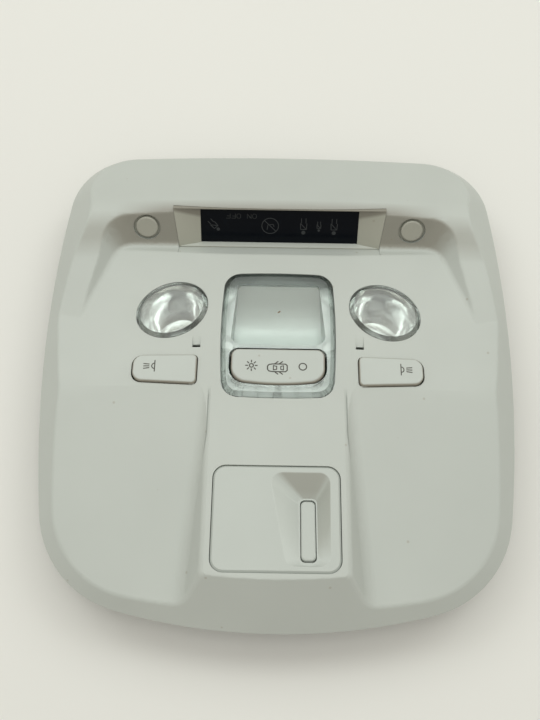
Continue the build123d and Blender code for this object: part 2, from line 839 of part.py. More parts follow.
def bulb(x, tip):
    """Wedge-base bulb lying along Y, with its rounded end at the tip."""
    glass_end = tip - bulb_radius
    glass_start = tip - bulb_glass_length
    glass = rod((x, glass_start, bulb_level), (x, glass_end, bulb_level), bulb_radius)
    glass += Pos(x, glass_end, bulb_level) * Sphere(bulb_radius)
    base = Box(bulb_base_width, bulb_base_length, bulb_base_thickness)
    return glass + Pos(x, glass_start - bulb_base_length / 2, bulb_level) * base


def bulb_holder(x, tip):
    """Round holder with a slot for the bulb's base and two terminals behind."""
    face_y = tip - bulb_glass_length - seat_clearance
    back_y = face_y - holder_length
    body = rod((x, back_y, bulb_level), (x, face_y, bulb_level), holder_radius)
    slot_depth = bulb_base_length + seat_clearance
    slot = Box(bulb_base_width + 2 * seat_clearance, slot_depth, bulb_base_thickness + 2 * seat_clearance)
    body -= Pos(x, face_y - slot_depth / 2, bulb_level) * slot
    for side in (-1, 1):
        place = Pos(x + side * terminal_pitch / 2, back_y - terminal_size[1] / 2, bulb_level)
        body += place * Box(*terminal_size)
    return body


def map_button():
    """Right map button: a hollow key with hinge lugs, pins and a nub over its switch."""
    body = slab(button_outline(0, 0), -button_depth, button_proud)
    body = fillet(body.faces().sort_by(Axis.Z)[-1].edges(), button_edge)
    body -= slab(button_outline(-button_wall, -button_wall), -deep_cut, button_proud - button_wall)
    lug_drop = hinge_depth + hinge_lug / 2 + pivot_clearance
    for start, step in ((hinge_ends[0], 1), (hinge_ends[1], -1)):
        lug = Pos(hinge_u, start + step * button_wall / 2) * Rectangle(hinge_lug, button_wall)
        body += slab(lug, -lug_drop, 0)
        outer_end = start - step * hinge_pin_length
        inner_end = start + step * button_wall
        body += rod((hinge_u, outer_end, -hinge_depth), (hinge_u, inner_end, -hinge_depth), hinge_pin_radius)
    nub = Pos(hinge_u + nub_arm, nub_v) * Circle(nub_radius)
    body += slab(nub, -nub_depth, button_proud - button_wall / 2)
    return panel.location * body


# Middle of the map switch under the nub, and where the nub's tip stands
nub_v = map_switch_y
nub_tip = panel.from_local_coords(Vector(hinge_u + nub_arm, nub_v, -nub_depth))
board_top = board_level + board_thickness


def map_plunger():
    """Right map switch plunger, under the button's nub."""
    low = board_top + switch_height - plunger_sink
    return Pos(nub_tip.X, nub_tip.Y, 0) * slab(Circle(plunger_radius), low, nub_tip.Z - plunger_rest_gap)


def map_switch():
    """Right map switch body with the plunger's guide."""
    body = slab(Rectangle(*map_switch_size), board_top, board_top + switch_height)
    low = board_top + switch_height - plunger_sink - plunger_room
    guide = slab(Circle(plunger_radius + slide_clearance / 2), low, board_top + switch_height + overshoot)
    return Pos(nub_tip.X, nub_tip.Y, 0) * (body - guide)


def dome_slider():
    """Slider of the dome switch, with a fork for the rocker's finger."""
    low = board_top + dome_switch_height - slider_sink
    body = slab(Rectangle(slider_size[0], slider_size[1]), low, low + slider_size[2])
    fork = Rectangle(rocker_finger_width + 2 * slider_slot_gap, slider_size[1] + overshoot)
    body -= slab(fork, low + slider_size[2] - slider_slot_depth, low + slider_size[2] + overshoot)
    return Pos(0, dome_switch_y, 0) * body


def dome_switch():
    """Dome switch body with the slider's channel."""
    top = board_top + dome_switch_height
    body = slab(Rectangle(*dome_switch_size), board_top, top)
    channel = Rectangle(slider_size[0] + 2 * slider_room, slider_size[1] + 2 * slide_clearance)
    body -= slab(channel, top - slider_sink - seat_clearance, top + overshoot)
    return Pos(0, dome_switch_y, 0) * body


# Frame of the blind bar: on the scoop's ramp, its own Y axis along the bar
ramp_fall = (scoop_front_depth - scoop_rear_depth) / (scoop_deep - scoop_rear)
ramp_turn = -degrees(atan(ramp_fall))
bar_level = -scoop_rear_depth - (bar_center_y - scoop_rear) * ramp_fall
bar_frame = Pos(bar_center_x, bar_center_y, bar_level) * Rot(ramp_turn, 0, 0)


def scoop(grow):
    """Hollow for the finger: a funnel with soft corners from the plate's face down to the bar's ramp."""
    def ring(left_front, left_rear, right, front, rear, corner):
        points = [(left_front - grow, front + grow), (right + grow, front + grow),
                  (right + grow, rear - grow), (left_rear - grow, rear - grow)]
        face = make_face(Polyline(*points, close=True)).face()
        return face.fillet_2d(corner + grow, face.vertices())

    mouth = ring(scoop_left_front, scoop_left_rear, scoop_right, scoop_front, scoop_rear, scoop_corner)
    flat = bar_width / 2 + bar_side_gap + scoop_shoulder
    along = sqrt(1 + ramp_fall ** 2)
    front = (scoop_deep - bar_center_y) * along
    rear = (scoop_rear + scoop_shoulder - bar_center_y) * along
    floor = bar_frame * Pos(0, 0, -grow) * ring(-flat, -flat, flat, front, rear, scoop_floor_corner)
    return loft([floor, mouth], ruled=True) + slab(mouth, 0, deep_cut)


def blind_plate():
    """Plate of the blind switch with tabs at its front and rear, before the scoop is cut."""
    body = slab(plate_outline(0), -wall - flange_thickness, 0)
    body = chamfer(body.faces().sort_by(Axis.Z)[-1].edges(), plate_edge)
    tab_front = plate_front + panel_gap + flange_width
    tab_rear = plate_rear - panel_gap - plate_rear_tab
    tabs = Rectangle(2 * (plate_half - plate_corner), tab_front - tab_rear)
    tabs = Pos(0, (tab_front + tab_rear) / 2) * tabs
    return body + slab(tabs, -wall - flange_thickness, -wall)


def blind_bezel():
    """Switch plate with its finger scoop, the bar's slot and the ears that carry the bar."""
    inside = slab(plate_outline(-panel_gap), -cut_reach, 0)
    under = slab(plate_outline(-scoop_wall), -cut_reach, -scoop_wall)
    body = blind_plate() - slab(plate_outline(-scoop_wall), -cut_reach, -wall)
    body += (scoop(scoop_wall) & inside) & (under + blind_plate())
    body -= scoop(0)
    mouth = [e for e in body.faces().sort_by(Axis.Z)[-1].inner_wires()[0].edges()]
    body = fillet(mouth, scoop_edge)
    slot = RectangleRounded(bar_width + 2 * bar_side_gap, bar_length + 2 * bar_end_gap, bar_corner)
    ear = Pos(bar_width / 2 + bar_ear_gap, 0) * Rectangle(bar_ear_thickness, 2 * bar_ear_half,
                                                         align=(Align.MIN, Align.CENTER))
    ears = both_sides(slab(ear, -bar_ear_drop, -scoop_wall / 2))
    ears -= rod((-cut_reach, 0, -bar_axis_depth), (cut_reach, 0, -bar_axis_depth),
                trunnion_radius + pivot_clearance)
    body -= bar_frame * slab(slot, -cut_reach, cut_reach)
    return plateau.location * (body + bar_frame * ears)


def blind_rocker():
    """Bar of the blind switch with its pins and drive finger."""
    body = slab(RectangleRounded(bar_width, bar_length, bar_corner), -bar_depth, bar_proud)
    body = fillet(body.faces().sort_by(Axis.Z)[-1].edges(), bar_edge)
    pin_end = bar_width / 2 + bar_ear_gap + bar_pin_length
    body += rod((-pin_end, 0, -bar_axis_depth), (pin_end, 0, -bar_axis_depth), trunnion_radius)
    body += slab(Rectangle(bar_finger_width, bar_finger_thickness), -bar_finger_depth, -bar_axis_depth)
    return plateau.location * bar_frame * body


def blind_slider():
    """Slider of the blind switch, with a fork for the bar's finger."""
    low = -bar_ear_drop - blind_slider_sink
    top = low + blind_slider_size[2]
    body = slab(Rectangle(blind_slider_size[0], blind_slider_size[1]), low, top)
    fork = Rectangle(blind_slider_size[0] + overshoot, bar_finger_thickness + 2 * slider_slot_gap)
    body -= slab(fork, top - blind_slot_depth, top + overshoot)
    return plateau.location * bar_frame * body


def blind_switch():
    """Blind switch body under the bar, with the slider's channel."""
    top = -bar_ear_drop
    body = slab(Rectangle(blind_switch_size[0], blind_switch_size[1]), top - blind_switch_size[2], top)
    channel = Rectangle(blind_slider_size[0] + 2 * slide_clearance,
                        blind_slider_size[1] + 2 * blind_slider_room)
    body -= slab(channel, top - blind_slider_sink - seat_clearance, top + overshoot)
    return plateau.location * bar_frame * body


def display_bezel():
    """Display bezel: sloping cheeks, a pocket for the window, end tabs and posts for the board."""
    body = slab(bezel_outline(0), -bezel_depth, 0)
    mouth = bezel_outline(-display_ledge)
    throat = Pos(0, 0, -bezel_recess) * Rectangle(2 * display_half, 2 * display_half_height)
    body -= loft([mouth, throat.face()], ruled=True)
    sight = Rectangle(2 * display_half, 2 * display_half_height)
    pocket = Rectangle(2 * (display_half + display_ledge + seat_clearance),
                       2 * (display_half_height + display_ledge + seat_clearance))
    body -= slab(sight, -2 * bezel_depth, -bezel_recess)
    body -= slab(pocket, -2 * bezel_depth, -bezel_recess - display_lip)
    tab = Pos(bezel_bottom_half - bezel_tab_reach) * Rectangle(
        bezel_top_half - bezel_bottom_half + 2 * bezel_tab_reach, 2 * bezel_tab_half_height,
        align=(Align.MIN, Align.CENTER))
    body += both_sides(slab(tab, -bezel_depth, -front_wall - panel_gap / 2))
    for u in (-1, 1):
        for v in (-1, 1):
            post = Pos(u * post_place[0], v * post_place[1]) * Circle(post_radius)
            body += slab(post, -bezel_depth - post_length, -bezel_depth)
    return display.location * body


def display_window():
    """Dark window of the indicator display, seated in the bezel's pocket."""
    sheet = Rectangle(2 * (display_half + display_ledge), 2 * (display_half_height + display_ledge))
    top = -bezel_recess - display_lip
    return display.location * slab(sheet, top - display_thickness, top)


def display_board():
    """Circuit board behind the display with its row of indicator lamps."""
    top = -bezel_depth - post_length
    sheet = Rectangle(2 * display_board_half, 2 * display_board_half_height)
    body = slab(sheet, top - board_thickness, top)
    for number in range(indicator_count):
        u = (number - (indicator_count - 1) / 2) * indicator_pitch
        body += Pos(u, 0, top + indicator_size[2] / 2) * Box(*indicator_size)
    return display.location * body


def alarm_sensor():
    """Right alarm sensor: a domed cap in the ring gap, a flange behind the wall and its body."""
    cap = slab(Circle(sensor_radius), -sensor_body_depth, sensor_proud)
    cap = fillet(cap.edges().sort_by(Axis.Z)[-1], sensor_edge)
    body = cap + slab(Circle(sensor_flange_radius), sensor_seat - flange_thickness, sensor_seat)
    body += slab(Circle(sensor_body_radius), -sensor_body_depth, sensor_seat - flange_thickness)
    return display.location * Pos(sensor_x, 0, 0) * body


def tray_outline(grow):
    """Plan of the rear housing: a wide front and a narrower tail."""
    front_part = Rectangle(2 * housing_half, housing_front - housing_shoulder)
    tail_part = Rectangle(2 * housing_tail_half, housing_shoulder - housing_rear + housing_corner)
    plan = Pos(0, (housing_front + housing_shoulder) / 2) * front_part
    plan += Pos(0, (housing_shoulder + housing_rear + housing_corner) / 2) * tail_part
    plan = fillet(plan.vertices(), housing_corner)
    return offset(plan, grow) if grow else plan


def bulb_cradle(x, tip):
    """Block on the housing's floor that a bulb holder lies in."""
    middle = tip - bulb_glass_length - holder_length / 2
    block = Pos(x, middle) * Rectangle(cradle_width, cradle_length)
    body = slab(block, -housing_depth + housing_wall, bulb_level)
    trough = rod((x, middle - cradle_length, bulb_level), (x, middle + cradle_length, bulb_level),
                 holder_radius + seat_clearance)
    return body - trough


def rear_housing():
    """Tray behind the console: ribbed floor, screw lugs, bulb cradles and board posts."""
    floor_low = -housing_depth + rib_height
    floor_top = -housing_depth + housing_wall
    plan = tray_outline(0)
    body = slab(plan, -housing_depth, 0) - slab(tray_outline(-housing_wall), floor_top, overshoot)
    recess = slab(tray_outline(-rib_width), -housing_depth - overshoot, floor_low)
    ribs = [Pos(0, y) * Rectangle(2 * reach, rib_width) for y in rib_rows]
    ribs += [Pos(x, 0) * Rectangle(rib_width, 2 * reach) for x in rib_columns]
    for rib in ribs:
        recess -= slab(rib, -housing_depth - 2 * overshoot, 0)
    body -= recess
    for x, y in screw_places:
        lug = slab(Pos(x, y) * Circle(lug_radius), -lug_thickness, 0)
        arm = Pos(x - lug_radius, y) * Rectangle(2 * lug_radius, 2 * lug_radius)
        lug += slab(arm, -lug_thickness, 0) - slab(tray_outline(-housing_wall / 2), -cut_reach, overshoot)
        lug -= slab(Pos(x, y) * Circle(screw_hole_radius), -cut_reach, overshoot)
        body += both_sides(lug)
    body += bulb_cradle(0, dome_bulb_tip) + both_sides(bulb_cradle(map_bulb_x, map_bulb_tip))
    for x, y in board_posts:
        body += both_sides(slab(Pos(x, y) * Circle(board_post_radius), floor_top, board_level))
    socket = Rectangle(2 * (connector_half_width + panel_gap), 2 * (connector_half_height + panel_gap))
    return body - slab(Pos(0, connector_y) * socket, -cut_reach, 0)


def housing_screws():
    """Screws that hold the housing to the cover's bosses."""
    shank = slab(Circle(screw_radius), -lug_thickness, screw_length - lug_thickness)
    head = slab(Circle(screw_head_radius), -lug_thickness - screw_head_height, -lug_thickness)
    drive = Rectangle(drive_length, drive_width) + Rectangle(drive_width, drive_length)
    low = -lug_thickness - screw_head_height
    screw = shank + head - slab(drive, low - overshoot, low + drive_depth)
    placed = [Pos(side * x, y, 0) * screw for x, y in screw_places for side in (-1, 1)]
    return Compound(children=[p.solid() for p in placed])


def main_board():
    """Circuit board that carries the switches and the connector."""
    front_part = Rectangle(2 * board_half, board_front - board_rear)
    tail_part = Rectangle(2 * board_tail_half, board_rear - board_tail_rear)
    plan = Pos(0, (board_front + board_rear) / 2) * front_part
    plan += Pos(0, (board_rear + board_tail_rear) / 2) * tail_part
    return slab(plan, board_level, board_top)


def main_connector():
    """Connector under the board: a shrouded socket with two rows of contacts."""
    outer = Rectangle(2 * connector_half_width, 2 * connector_half_height)
    inner = Rectangle(2 * (connector_half_width - connector_wall),
                      2 * (connector_half_height - connector_wall))
    mouth = -housing_depth + connector_sink
    floor = mouth + connector_socket
    body = slab(outer, mouth, board_level) - slab(inner, mouth - overshoot, floor)
    for row in (-1, 1):
        for column in range(contacts_per_row):
            x = (column - (contacts_per_row - 1) / 2) * contact_pitch
            blade = Pos(x, row * contact_row_gap / 2) * Rectangle(contact_size, contact_size)
            body += slab(blade, floor - contact_length, floor + overshoot)
    return Pos(0, connector_y, 0) * body


def roof_clip(x, y):
    """Spring clip pushed over a tower of the cover."""
    leg_x = tower_thickness / 2 + pivot_clearance + clip_sheet / 2
    bottom = -tower_length - clip_bend
    knee = bottom + clip_leg
    half = [(leg_x, bottom), (leg_x, knee), (leg_x + clip_barb, knee + clip_barb),
            (leg_x + clip_sheet, tower_clear)]
    line = [(-a, b) for a, b in reversed(half)] + half
    strip = trace(FilletPolyline(*line, radius=clip_bend), clip_sheet)
    body = extrude(Plane.XZ * strip, clip_width / 2, both=True)
    return Pos(x, y, 0) * body


# Every piece, by its name
pieces = {
    "front_cover": front_cover(),
    "rear_housing": rear_housing(),
    "housing_screws": housing_screws(),
    "main_board": main_board(),
    "main_connector": main_connector(),
    "display_bezel": display_bezel(),
    "display_window": display_window(),
    "display_board": display_board(),
    "dome_lens": dome_lens(),
    "dome_frame": dome_frame(),
    "dome_reflector": dome_reflector(),
    "dome_bulb": bulb(0, dome_bulb_tip),
    "dome_bulb_holder": bulb_holder(0, dome_bulb_tip),
    "dome_rocker": dome_rocker(),
    "dome_slider": dome_slider(),
    "dome_switch": dome_switch(),
    "blind_bezel": blind_bezel(),
    "blind_rocker": blind_rocker(),
    "blind_slider": blind_slider(),
    "blind_switch": blind_switch(),
}

# Pieces that come in pairs, drawn for the right side
pairs = {
    "alarm_sensor": alarm_sensor(),
    "map_lens": map_lens(),
    "map_reflector": map_reflector(),
    "map_bulb": bulb(map_bulb_x, map_bulb_tip),
    "map_bulb_holder": bulb_holder(map_bulb_x, map_bulb_tip),
    "map_button": map_button(),
    "map_plunger": map_plunger(),
    "map_switch": map_switch(),
    "front_clip": roof_clip(*clip_places[0]),
    "rear_clip": roof_clip(*clip_places[1]),
}
for name, right in pairs.items():
    pieces[name + "_right"] = right
    pieces[name + "_left"] = mirrored(right)

os.makedirs("parts", exist_ok=True)
for name, piece in pieces.items():
    export_step(Pos(0, console_length / 2 - front_reach, housing_depth) * piece, f"parts/{name}.step")
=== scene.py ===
import logging
import math
from dataclasses import dataclass
from enum import Enum
from typing import Sequence

import bpy
from mathutils import Matrix, Vector


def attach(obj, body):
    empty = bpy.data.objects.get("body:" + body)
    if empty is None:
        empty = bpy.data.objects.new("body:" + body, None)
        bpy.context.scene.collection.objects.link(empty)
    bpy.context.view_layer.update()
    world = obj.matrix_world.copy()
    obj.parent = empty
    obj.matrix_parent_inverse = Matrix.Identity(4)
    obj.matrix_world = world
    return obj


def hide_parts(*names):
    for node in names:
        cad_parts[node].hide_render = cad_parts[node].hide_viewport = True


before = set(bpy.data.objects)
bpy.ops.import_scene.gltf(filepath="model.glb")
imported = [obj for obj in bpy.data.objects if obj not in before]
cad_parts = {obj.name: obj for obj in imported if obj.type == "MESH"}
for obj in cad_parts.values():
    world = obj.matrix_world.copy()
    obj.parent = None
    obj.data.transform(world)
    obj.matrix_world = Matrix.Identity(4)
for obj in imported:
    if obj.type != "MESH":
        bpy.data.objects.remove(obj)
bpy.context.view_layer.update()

Colour = tuple[float, float, float]
Spot = tuple[float, float]
Socket = bpy.types.NodeSocket
log = logging.getLogger("console")

MM = 0.001
NOISE_SPAN: Spot = (0.3, 0.7)
FULL_SPAN: Spot = (0.0, 1.0)
PLASTIC_INDEX = 1.49

# Directions of the console's main faces, for the painted shade and light and the rims of the
# lenses.
WALL_WAY: Colour = (0.0, -0.809, 0.588)
SILL_WAY: Colour = (0.0, 0.588, 0.809)
TOP_WAY: Colour = (0.0, 0.1045, 0.9945)
REAR_WAY: Colour = (0.0, -1.0, 0.0)
HEAD_WAY: Colour = (-0.15, -0.5, 0.853)
CHEEK_WAY: Colour = (-0.74, 0.08, 0.67)
RAMP_WAY: Colour = (0.46, 0.20, 0.865)
# Range of facing that every surface is past.
ANY_FACING: Spot = (-2.0, -1.0)


class Body(Enum):
    """Rigid bodies of the console that carry new pieces."""

    CONSOLE = "console"
    DOME_ROCKER = "dome_rocker"
    BUTTON_RIGHT = "map_button_right"
    BUTTON_LEFT = "map_button_left"
    BLIND_BAR = "blind_rocker"


class Side(Enum):
    """Sides of the console as the photograph shows them."""

    RIGHT = 1
    LEFT = -1

    @property
    def word(self) -> str:
        """Ending of the node names on this side."""
        return self.name.lower()


class Axis(Enum):
    """Axes of the console's frame."""

    X = "X"
    Y = "Y"
    Z = "Z"


class NodeGraph:
    """Short way to write the node tree of one material."""

    def __init__(self, name: str) -> None:
        """Starts a material.

        Args:
            name: name of the material.
        """
        self.material = bpy.data.materials.new(name)
        self.material.use_nodes = True
        self.tree = self.material.node_tree
        self.shader = self.tree.nodes["Principled BSDF"]
        self.place = self.add("ShaderNodeTexCoord").outputs["Object"]

    def add(self, kind: str, **settings: object) -> bpy.types.Node:
        """Adds a node.

        Args:
            kind: type name of the node.
            settings: properties to set on it.

        Returns:
            The new node.
        """
        node = self.tree.nodes.new(kind)
        for key, value in settings.items():
            setattr(node, key, value)
        return node

    def link(self, source: Socket, target: Socket) -> None:
        """Joins two sockets."""
        self.tree.links.new(source, target)

    def set(self, **values: object) -> None:
        """Sets values on the shader's own sockets; an underscore stands for a space."""
        for key, value in values.items():
            self.shader.inputs[key.replace("_", " ")].default_value = value

    def stretched(self, scale: Colour, turn: Colour = (0.0, 0.0, 0.0)) -> Socket:
        """Object coordinates, turned and stretched for a pattern with a direction.

        Args:
            scale: factors along the three axes.
            turn: angles about the three axes, in radians.

        Returns:
            The vector socket.
        """
        mapping = self.add("ShaderNodeMapping")
        mapping.inputs["Scale"].default_value = scale
        mapping.inputs["Rotation"].default_value = turn
        self.link(self.place, mapping.inputs["Vector"])
        return mapping.outputs["Vector"]

    def along(self, axis: Axis) -> Socket:
        """Distance along one axis of the console.

        Args:
            axis: which axis.

        Returns:
            The socket of the distance, in metres.
        """
        split = self.add("ShaderNodeSeparateXYZ")
        self.link(self.place, split.inputs["Vector"])
        return split.outputs[axis.value]

    def facing(self, way: Colour) -> Socket:
        """How far the surface looks along a fixed direction, either way.

        Args:
            way: direction, of length 1.

        Returns:
            The value socket; 1 is straight along the direction and 0 is across it.
        """
        dot = self.add("ShaderNodeVectorMath", operation="DOT_PRODUCT")
        self.link(self.add("ShaderNodeNewGeometry").outputs["Normal"], dot.inputs[0])
        dot.inputs[1].default_value = way
        size = self.add("ShaderNodeMath", operation="ABSOLUTE")
        self.link(dot.outputs["Value"], size.inputs[0])
        return size.outputs["Value"]

    def noise(self, scale: float, detail: float = 3.0, vector: Socket | None = None) -> Socket:
        """Soft noise over the surface.

        Args:
            scale: cells in a metre.
            detail: octaves.
            vector: coordinates, or None for plain Object coordinates.

        Returns:
            The factor socket.
        """
        node = self.add("ShaderNodeTexNoise")
        node.inputs["Scale"].default_value = scale
        node.inputs["Detail"].default_value = detail
        self.link(vector or self.place, node.inputs["Vector"])
        return node.outputs["Fac"]

    def spots(self, scale: float) -> Socket:
        """Distance to scattered points, in cells.

        Args:
            scale: cells in a metre.

        Returns:
            The distance socket.
        """
        node = self.add("ShaderNodeTexVoronoi")
        node.inputs["Scale"].default_value = scale
        self.link(self.place, node.inputs["Vector"])
        return node.outputs["Distance"]

    def remap(self, source: Socket, span: Spot = NOISE_SPAN, result: Spot = FULL_SPAN) -> Socket:
        """Maps a range of values to another and holds it there.

        Args:
            source: value socket.
            span: values that give the first and the last result.
            result: first and last result.

        Returns:
            The mapped socket.
        """
        node = self.add("ShaderNodeMapRange")
        keys = ("From Min", "From Max", "To Min", "To Max")
        for key, value in zip(keys, (*span, *result)):
            node.inputs[key].default_value = value
        self.link(source, node.inputs["Value"])
        return node.outputs["Result"]

    def product(self, first: Socket, second: Socket) -> Socket:
        """Multiplies two masks.

        Args:
            first: one mask.
            second: the other mask.

        Returns:
            The socket of the product.
        """
        node = self.add("ShaderNodeMath", operation="MULTIPLY")
        self.link(first, node.inputs[0])
        self.link(second, node.inputs[1])
        return node.outputs["Value"]

    def blend(self, factor: Socket, first: Colour | Socket, second: Colour) -> Socket:
        """Mixes two colours.

        Args:
            factor: 0 gives the first colour, 1 the second.
            first: colour, or the socket of one.
            second: colour.

        Returns:
            The colour socket.
        """
        node = self.add("ShaderNodeMix", data_type="RGBA")
        self.link(factor, node.inputs["Factor"])
        if isinstance(first, tuple):
            node.inputs["A"].default_value = (*first, 1.0)
        else:
            self.link(first, node.inputs["A"])
        node.inputs["B"].default_value = (*second, 1.0)
        return node.outputs["Result"]

    def bump(self, height: Socket, distance: float, strength: float = 1.0) -> None:
        """Gives the shader a bump.

        Args:
            height: height socket.
            distance: height of the bump in metres.
            strength: share of it that shows.
        """
        node = self.add("ShaderNodeBump")
        node.inputs["Distance"].default_value = distance
        node.inputs["Strength"].default_value = strength
        self.link(height, node.inputs["Height"])
        self.link(node.outputs["Normal"], self.shader.inputs["Normal"])

    def colour(self, source: Socket) -> None:
        """Feeds the base colour."""
        self.link(source, self.shader.inputs["Base Color"])

    def roughness(self, source: Socket) -> None:
        """Feeds the roughness."""
        self.link(source, self.shader.inputs["Roughness"])


def scaled(colour: Colour, factor: float) -> Colour:
    """Lightens or darkens a linear colour."""
    return tuple(min(1.0, part * factor) for part in colour)


def around(value: float, spread: Spot) -> Spot:
    """Range about a value, from its lower to its upper departure."""
    return (value + spread[0], value + spread[1])


@dataclass(frozen=True)
class Fade:
    """Stretch of an axis over which painted shade or light comes in, in metres."""

    axis: Axis
    start: float
    end: float


@dataclass(frozen=True)
class PaintedLight:
    """Painted shade or light on what looks one way, kept to a place by its fades."""

    colour: Colour
    way: Colour
    facing: Spot
    fades: tuple[Fade, ...] = ()

    def lay(self, graph: NodeGraph, base: Socket) -> Socket:
        """Lays the painted shade or light over a colour.

        Args:
            graph: node tree of the material.
            base: colour under it.

        Returns:
            The colour socket.
        """
        share = graph.remap(graph.facing(self.way), self.facing)
        for fade in self.fades:
            reach = graph.remap(graph.along(fade.axis), (fade.start, fade.end))
            share = graph.product(share, reach)
        return graph.blend(share, base, self.colour)


@dataclass(frozen=True)
class MouldedPlastic:
    """Satin moulded plastic with a fine grain, faint mottling, a few handling marks and, where
    given, painted shade and light.
    """

    name: str
    slot: str
    colour: Colour
    rough: float = 0.42
    rough_spread: Spot = (-0.05, 0.07)
    rough_scale: float = 45.0
    mottle: float = 0.03
    mottle_scale: float = 14.0
    grain: float = 0.00003
    grain_share: float = 0.5
    grain_scale: float = 2600.0
    soil: Colour = (0.30, 0.25, 0.18)
    soil_share: float = 0.35
    soil_edge: Spot = (0.030, 0.045)
    soil_scale: float = 55.0
    specular: float = 0.45
    index: float = 1.5
    painted_lights: tuple[PaintedLight, ...] = ()

    def material(self) -> bpy.types.Material:
        """Builds the material.

        Returns:
            The material.
        """
        graph = NodeGraph(self.name)
        cloud = graph.remap(graph.noise(self.mottle_scale, detail=4.0))
        pale = scaled(self.colour, 1.0 + self.mottle)
        deep = scaled(self.colour, 1.0 - self.mottle)
        base = graph.blend(cloud, pale, deep)
        # Painted shade and light go over the mottled colour.
        for tone in self.painted_lights:
            base = tone.lay(graph, base)
        specks = graph.remap(graph.spots(self.soil_scale), self.soil_edge, (self.soil_share, 0.0))
        graph.colour(graph.blend(specks, base, self.soil))
        wear = graph.noise(self.rough_scale, detail=5.0)
        graph.roughness(graph.remap(wear, result=around(self.rough, self.rough_spread)))
        graph.bump(graph.noise(self.grain_scale, detail=2.0), self.grain, self.grain_share)
        graph.set(IOR=self.index, Specular_IOR_Level=self.specular)
        return graph.material


@dataclass(frozen=True)
class ClearPlastic:
    """Polished clear plastic with faint wiping marks and, where given, a greyer rim."""

    name: str
    slot: str
    tint: Colour = (0.95, 0.975, 0.96)
    rim: Colour | None = (0.40, 0.43, 0.41)
    rough: float = 0.02
    clear: float = 1.0
    face: Colour = TOP_WAY
    face_span: Spot = (0.97, 0.99)
    wipe_scale: float = 60.0
    wipe_stretch: Colour = (1.0, 7.0, 1.0)
    wipe_turn: Colour = (0.0, 0.0, 0.5)
    wipe_span: Spot = (0.45, 0.8)
    wipe_dulling: float = 0.05

    def material(self) -> bpy.types.Material:
        """Builds the material; what doesn't look along the face direction is rim.

        Returns:
            The material.
        """
        graph = NodeGraph(self.name)
        strokes = graph.stretched(self.wipe_stretch, self.wipe_turn)
        wipes = graph.noise(self.wipe_scale, detail=4.0, vector=strokes)
        dulled = around(self.rough, (0.0, self.wipe_dulling))
        graph.roughness(graph.remap(wipes, self.wipe_span, dulled))
        if self.rim:
            flat = graph.remap(graph.facing(self.face), self.face_span)
            graph.colour(graph.blend(flat, self.rim, self.tint))
        else:
            graph.set(Base_Color=(*self.tint, 1.0))
        graph.set(IOR=PLASTIC_INDEX, Transmission_Weight=self.clear)
        return graph.material


@dataclass(frozen=True)
class SilverPlating:
    """Vacuum-metallised plastic, from mirror bright to satin, with a slightly wavy skin and, where
    given, painted shade.
    """

    name: str
    slot: str
    colour: Colour
    rough: float
    wave: float
    wave_scale: float = 38.0
    haze: float = 0.12
    haze_dulling: float = 2.0
    veil_span: Spot = (0.35, 0.7)
    dull_span: Spot = (0.3, 0.75)
    streak_scale: float = 30.0
    streak_stretch: Colour = (1.0, 3.5, 1.0)
    streak_turn: Colour = (0.0, 0.0, 0.9)
    painted_lights: tuple[PaintedLight, ...] = ()

    def material(self) -> bpy.types.Material:
        """Builds the material.

        Returns:
            The material.
        """
        graph = NodeGraph(self.name)
        lie = graph.stretched(self.streak_stretch, self.streak_turn)
        streak = graph.noise(self.streak_scale, detail=5.0, vector=lie)
        veil = graph.remap(streak, self.veil_span)
        silver = graph.blend(veil, self.colour, scaled(self.colour, 1.0 - self.haze))
        # Painted shade goes over the silver.
        for tone in self.painted_lights:
            silver = tone.lay(graph, silver)
        graph.colour(silver)
        bright = self.rough * (1.0 - self.haze)
        dull = self.rough * (1.0 + self.haze_dulling * self.haze)
        graph.roughness(graph.remap(streak, self.dull_span, (bright, dull)))
        if self.wave:
            graph.bump(graph.noise(self.wave_scale, detail=2.0), self.wave)
        graph.set(Metallic=1.0)
        return graph.material


@dataclass(frozen=True)
class DisplayGlass:
    """Dark polished window with dust on it."""

    name: str
    slot: str
    colour: Colour = (0.0022, 0.0034, 0.0060)
    rough: Spot = (0.14, 0.24)
    rough_scale: float = 90.0
    dust_scale: float = 420.0
    dust_span: Spot = (0.55, 0.8)
    dust_share: float = 0.5
    dust_lift: float = 2.2
    specular: float = 0.12

    def material(self) -> bpy.types.Material:
        """Builds the material.

        Returns:
            The material.
        """
        graph = NodeGraph(self.name)
        grit = graph.noise(self.dust_scale, detail=6.0)
        dust = graph.remap(grit, self.dust_span, (0.0, self.dust_share))
        graph.colour(graph.blend(dust, self.colour, scaled(self.colour, self.dust_lift)))
        graph.roughness(graph.remap(graph.noise(self.rough_scale, detail=4.0), result=self.rough))
        graph.set(IOR=PLASTIC_INDEX, Specular_IOR_Level=self.specular)
        return graph.material


@dataclass(frozen=True)
class PrintedInk:
    """Thin printed ink with a slightly uneven tone."""

    name: str
    slot: str
    colour: Colour
    uneven: float = 1.35
    uneven_scale: float = 900.0
    rough: Spot = (0.5, 0.65)
    rough_scale: float = 300.0

    def material(self) -> bpy.types.Material:
        """Builds the material.

        Returns:
            The material.
        """
        graph = NodeGraph(self.name)
        patches = graph.remap(graph.noise(self.uneven_scale))
        graph.colour(graph.blend(patches, self.colour, scaled(self.colour, self.uneven)))
        graph.roughness(graph.remap(graph.noise(self.rough_scale), result=self.rough))
        return graph.material


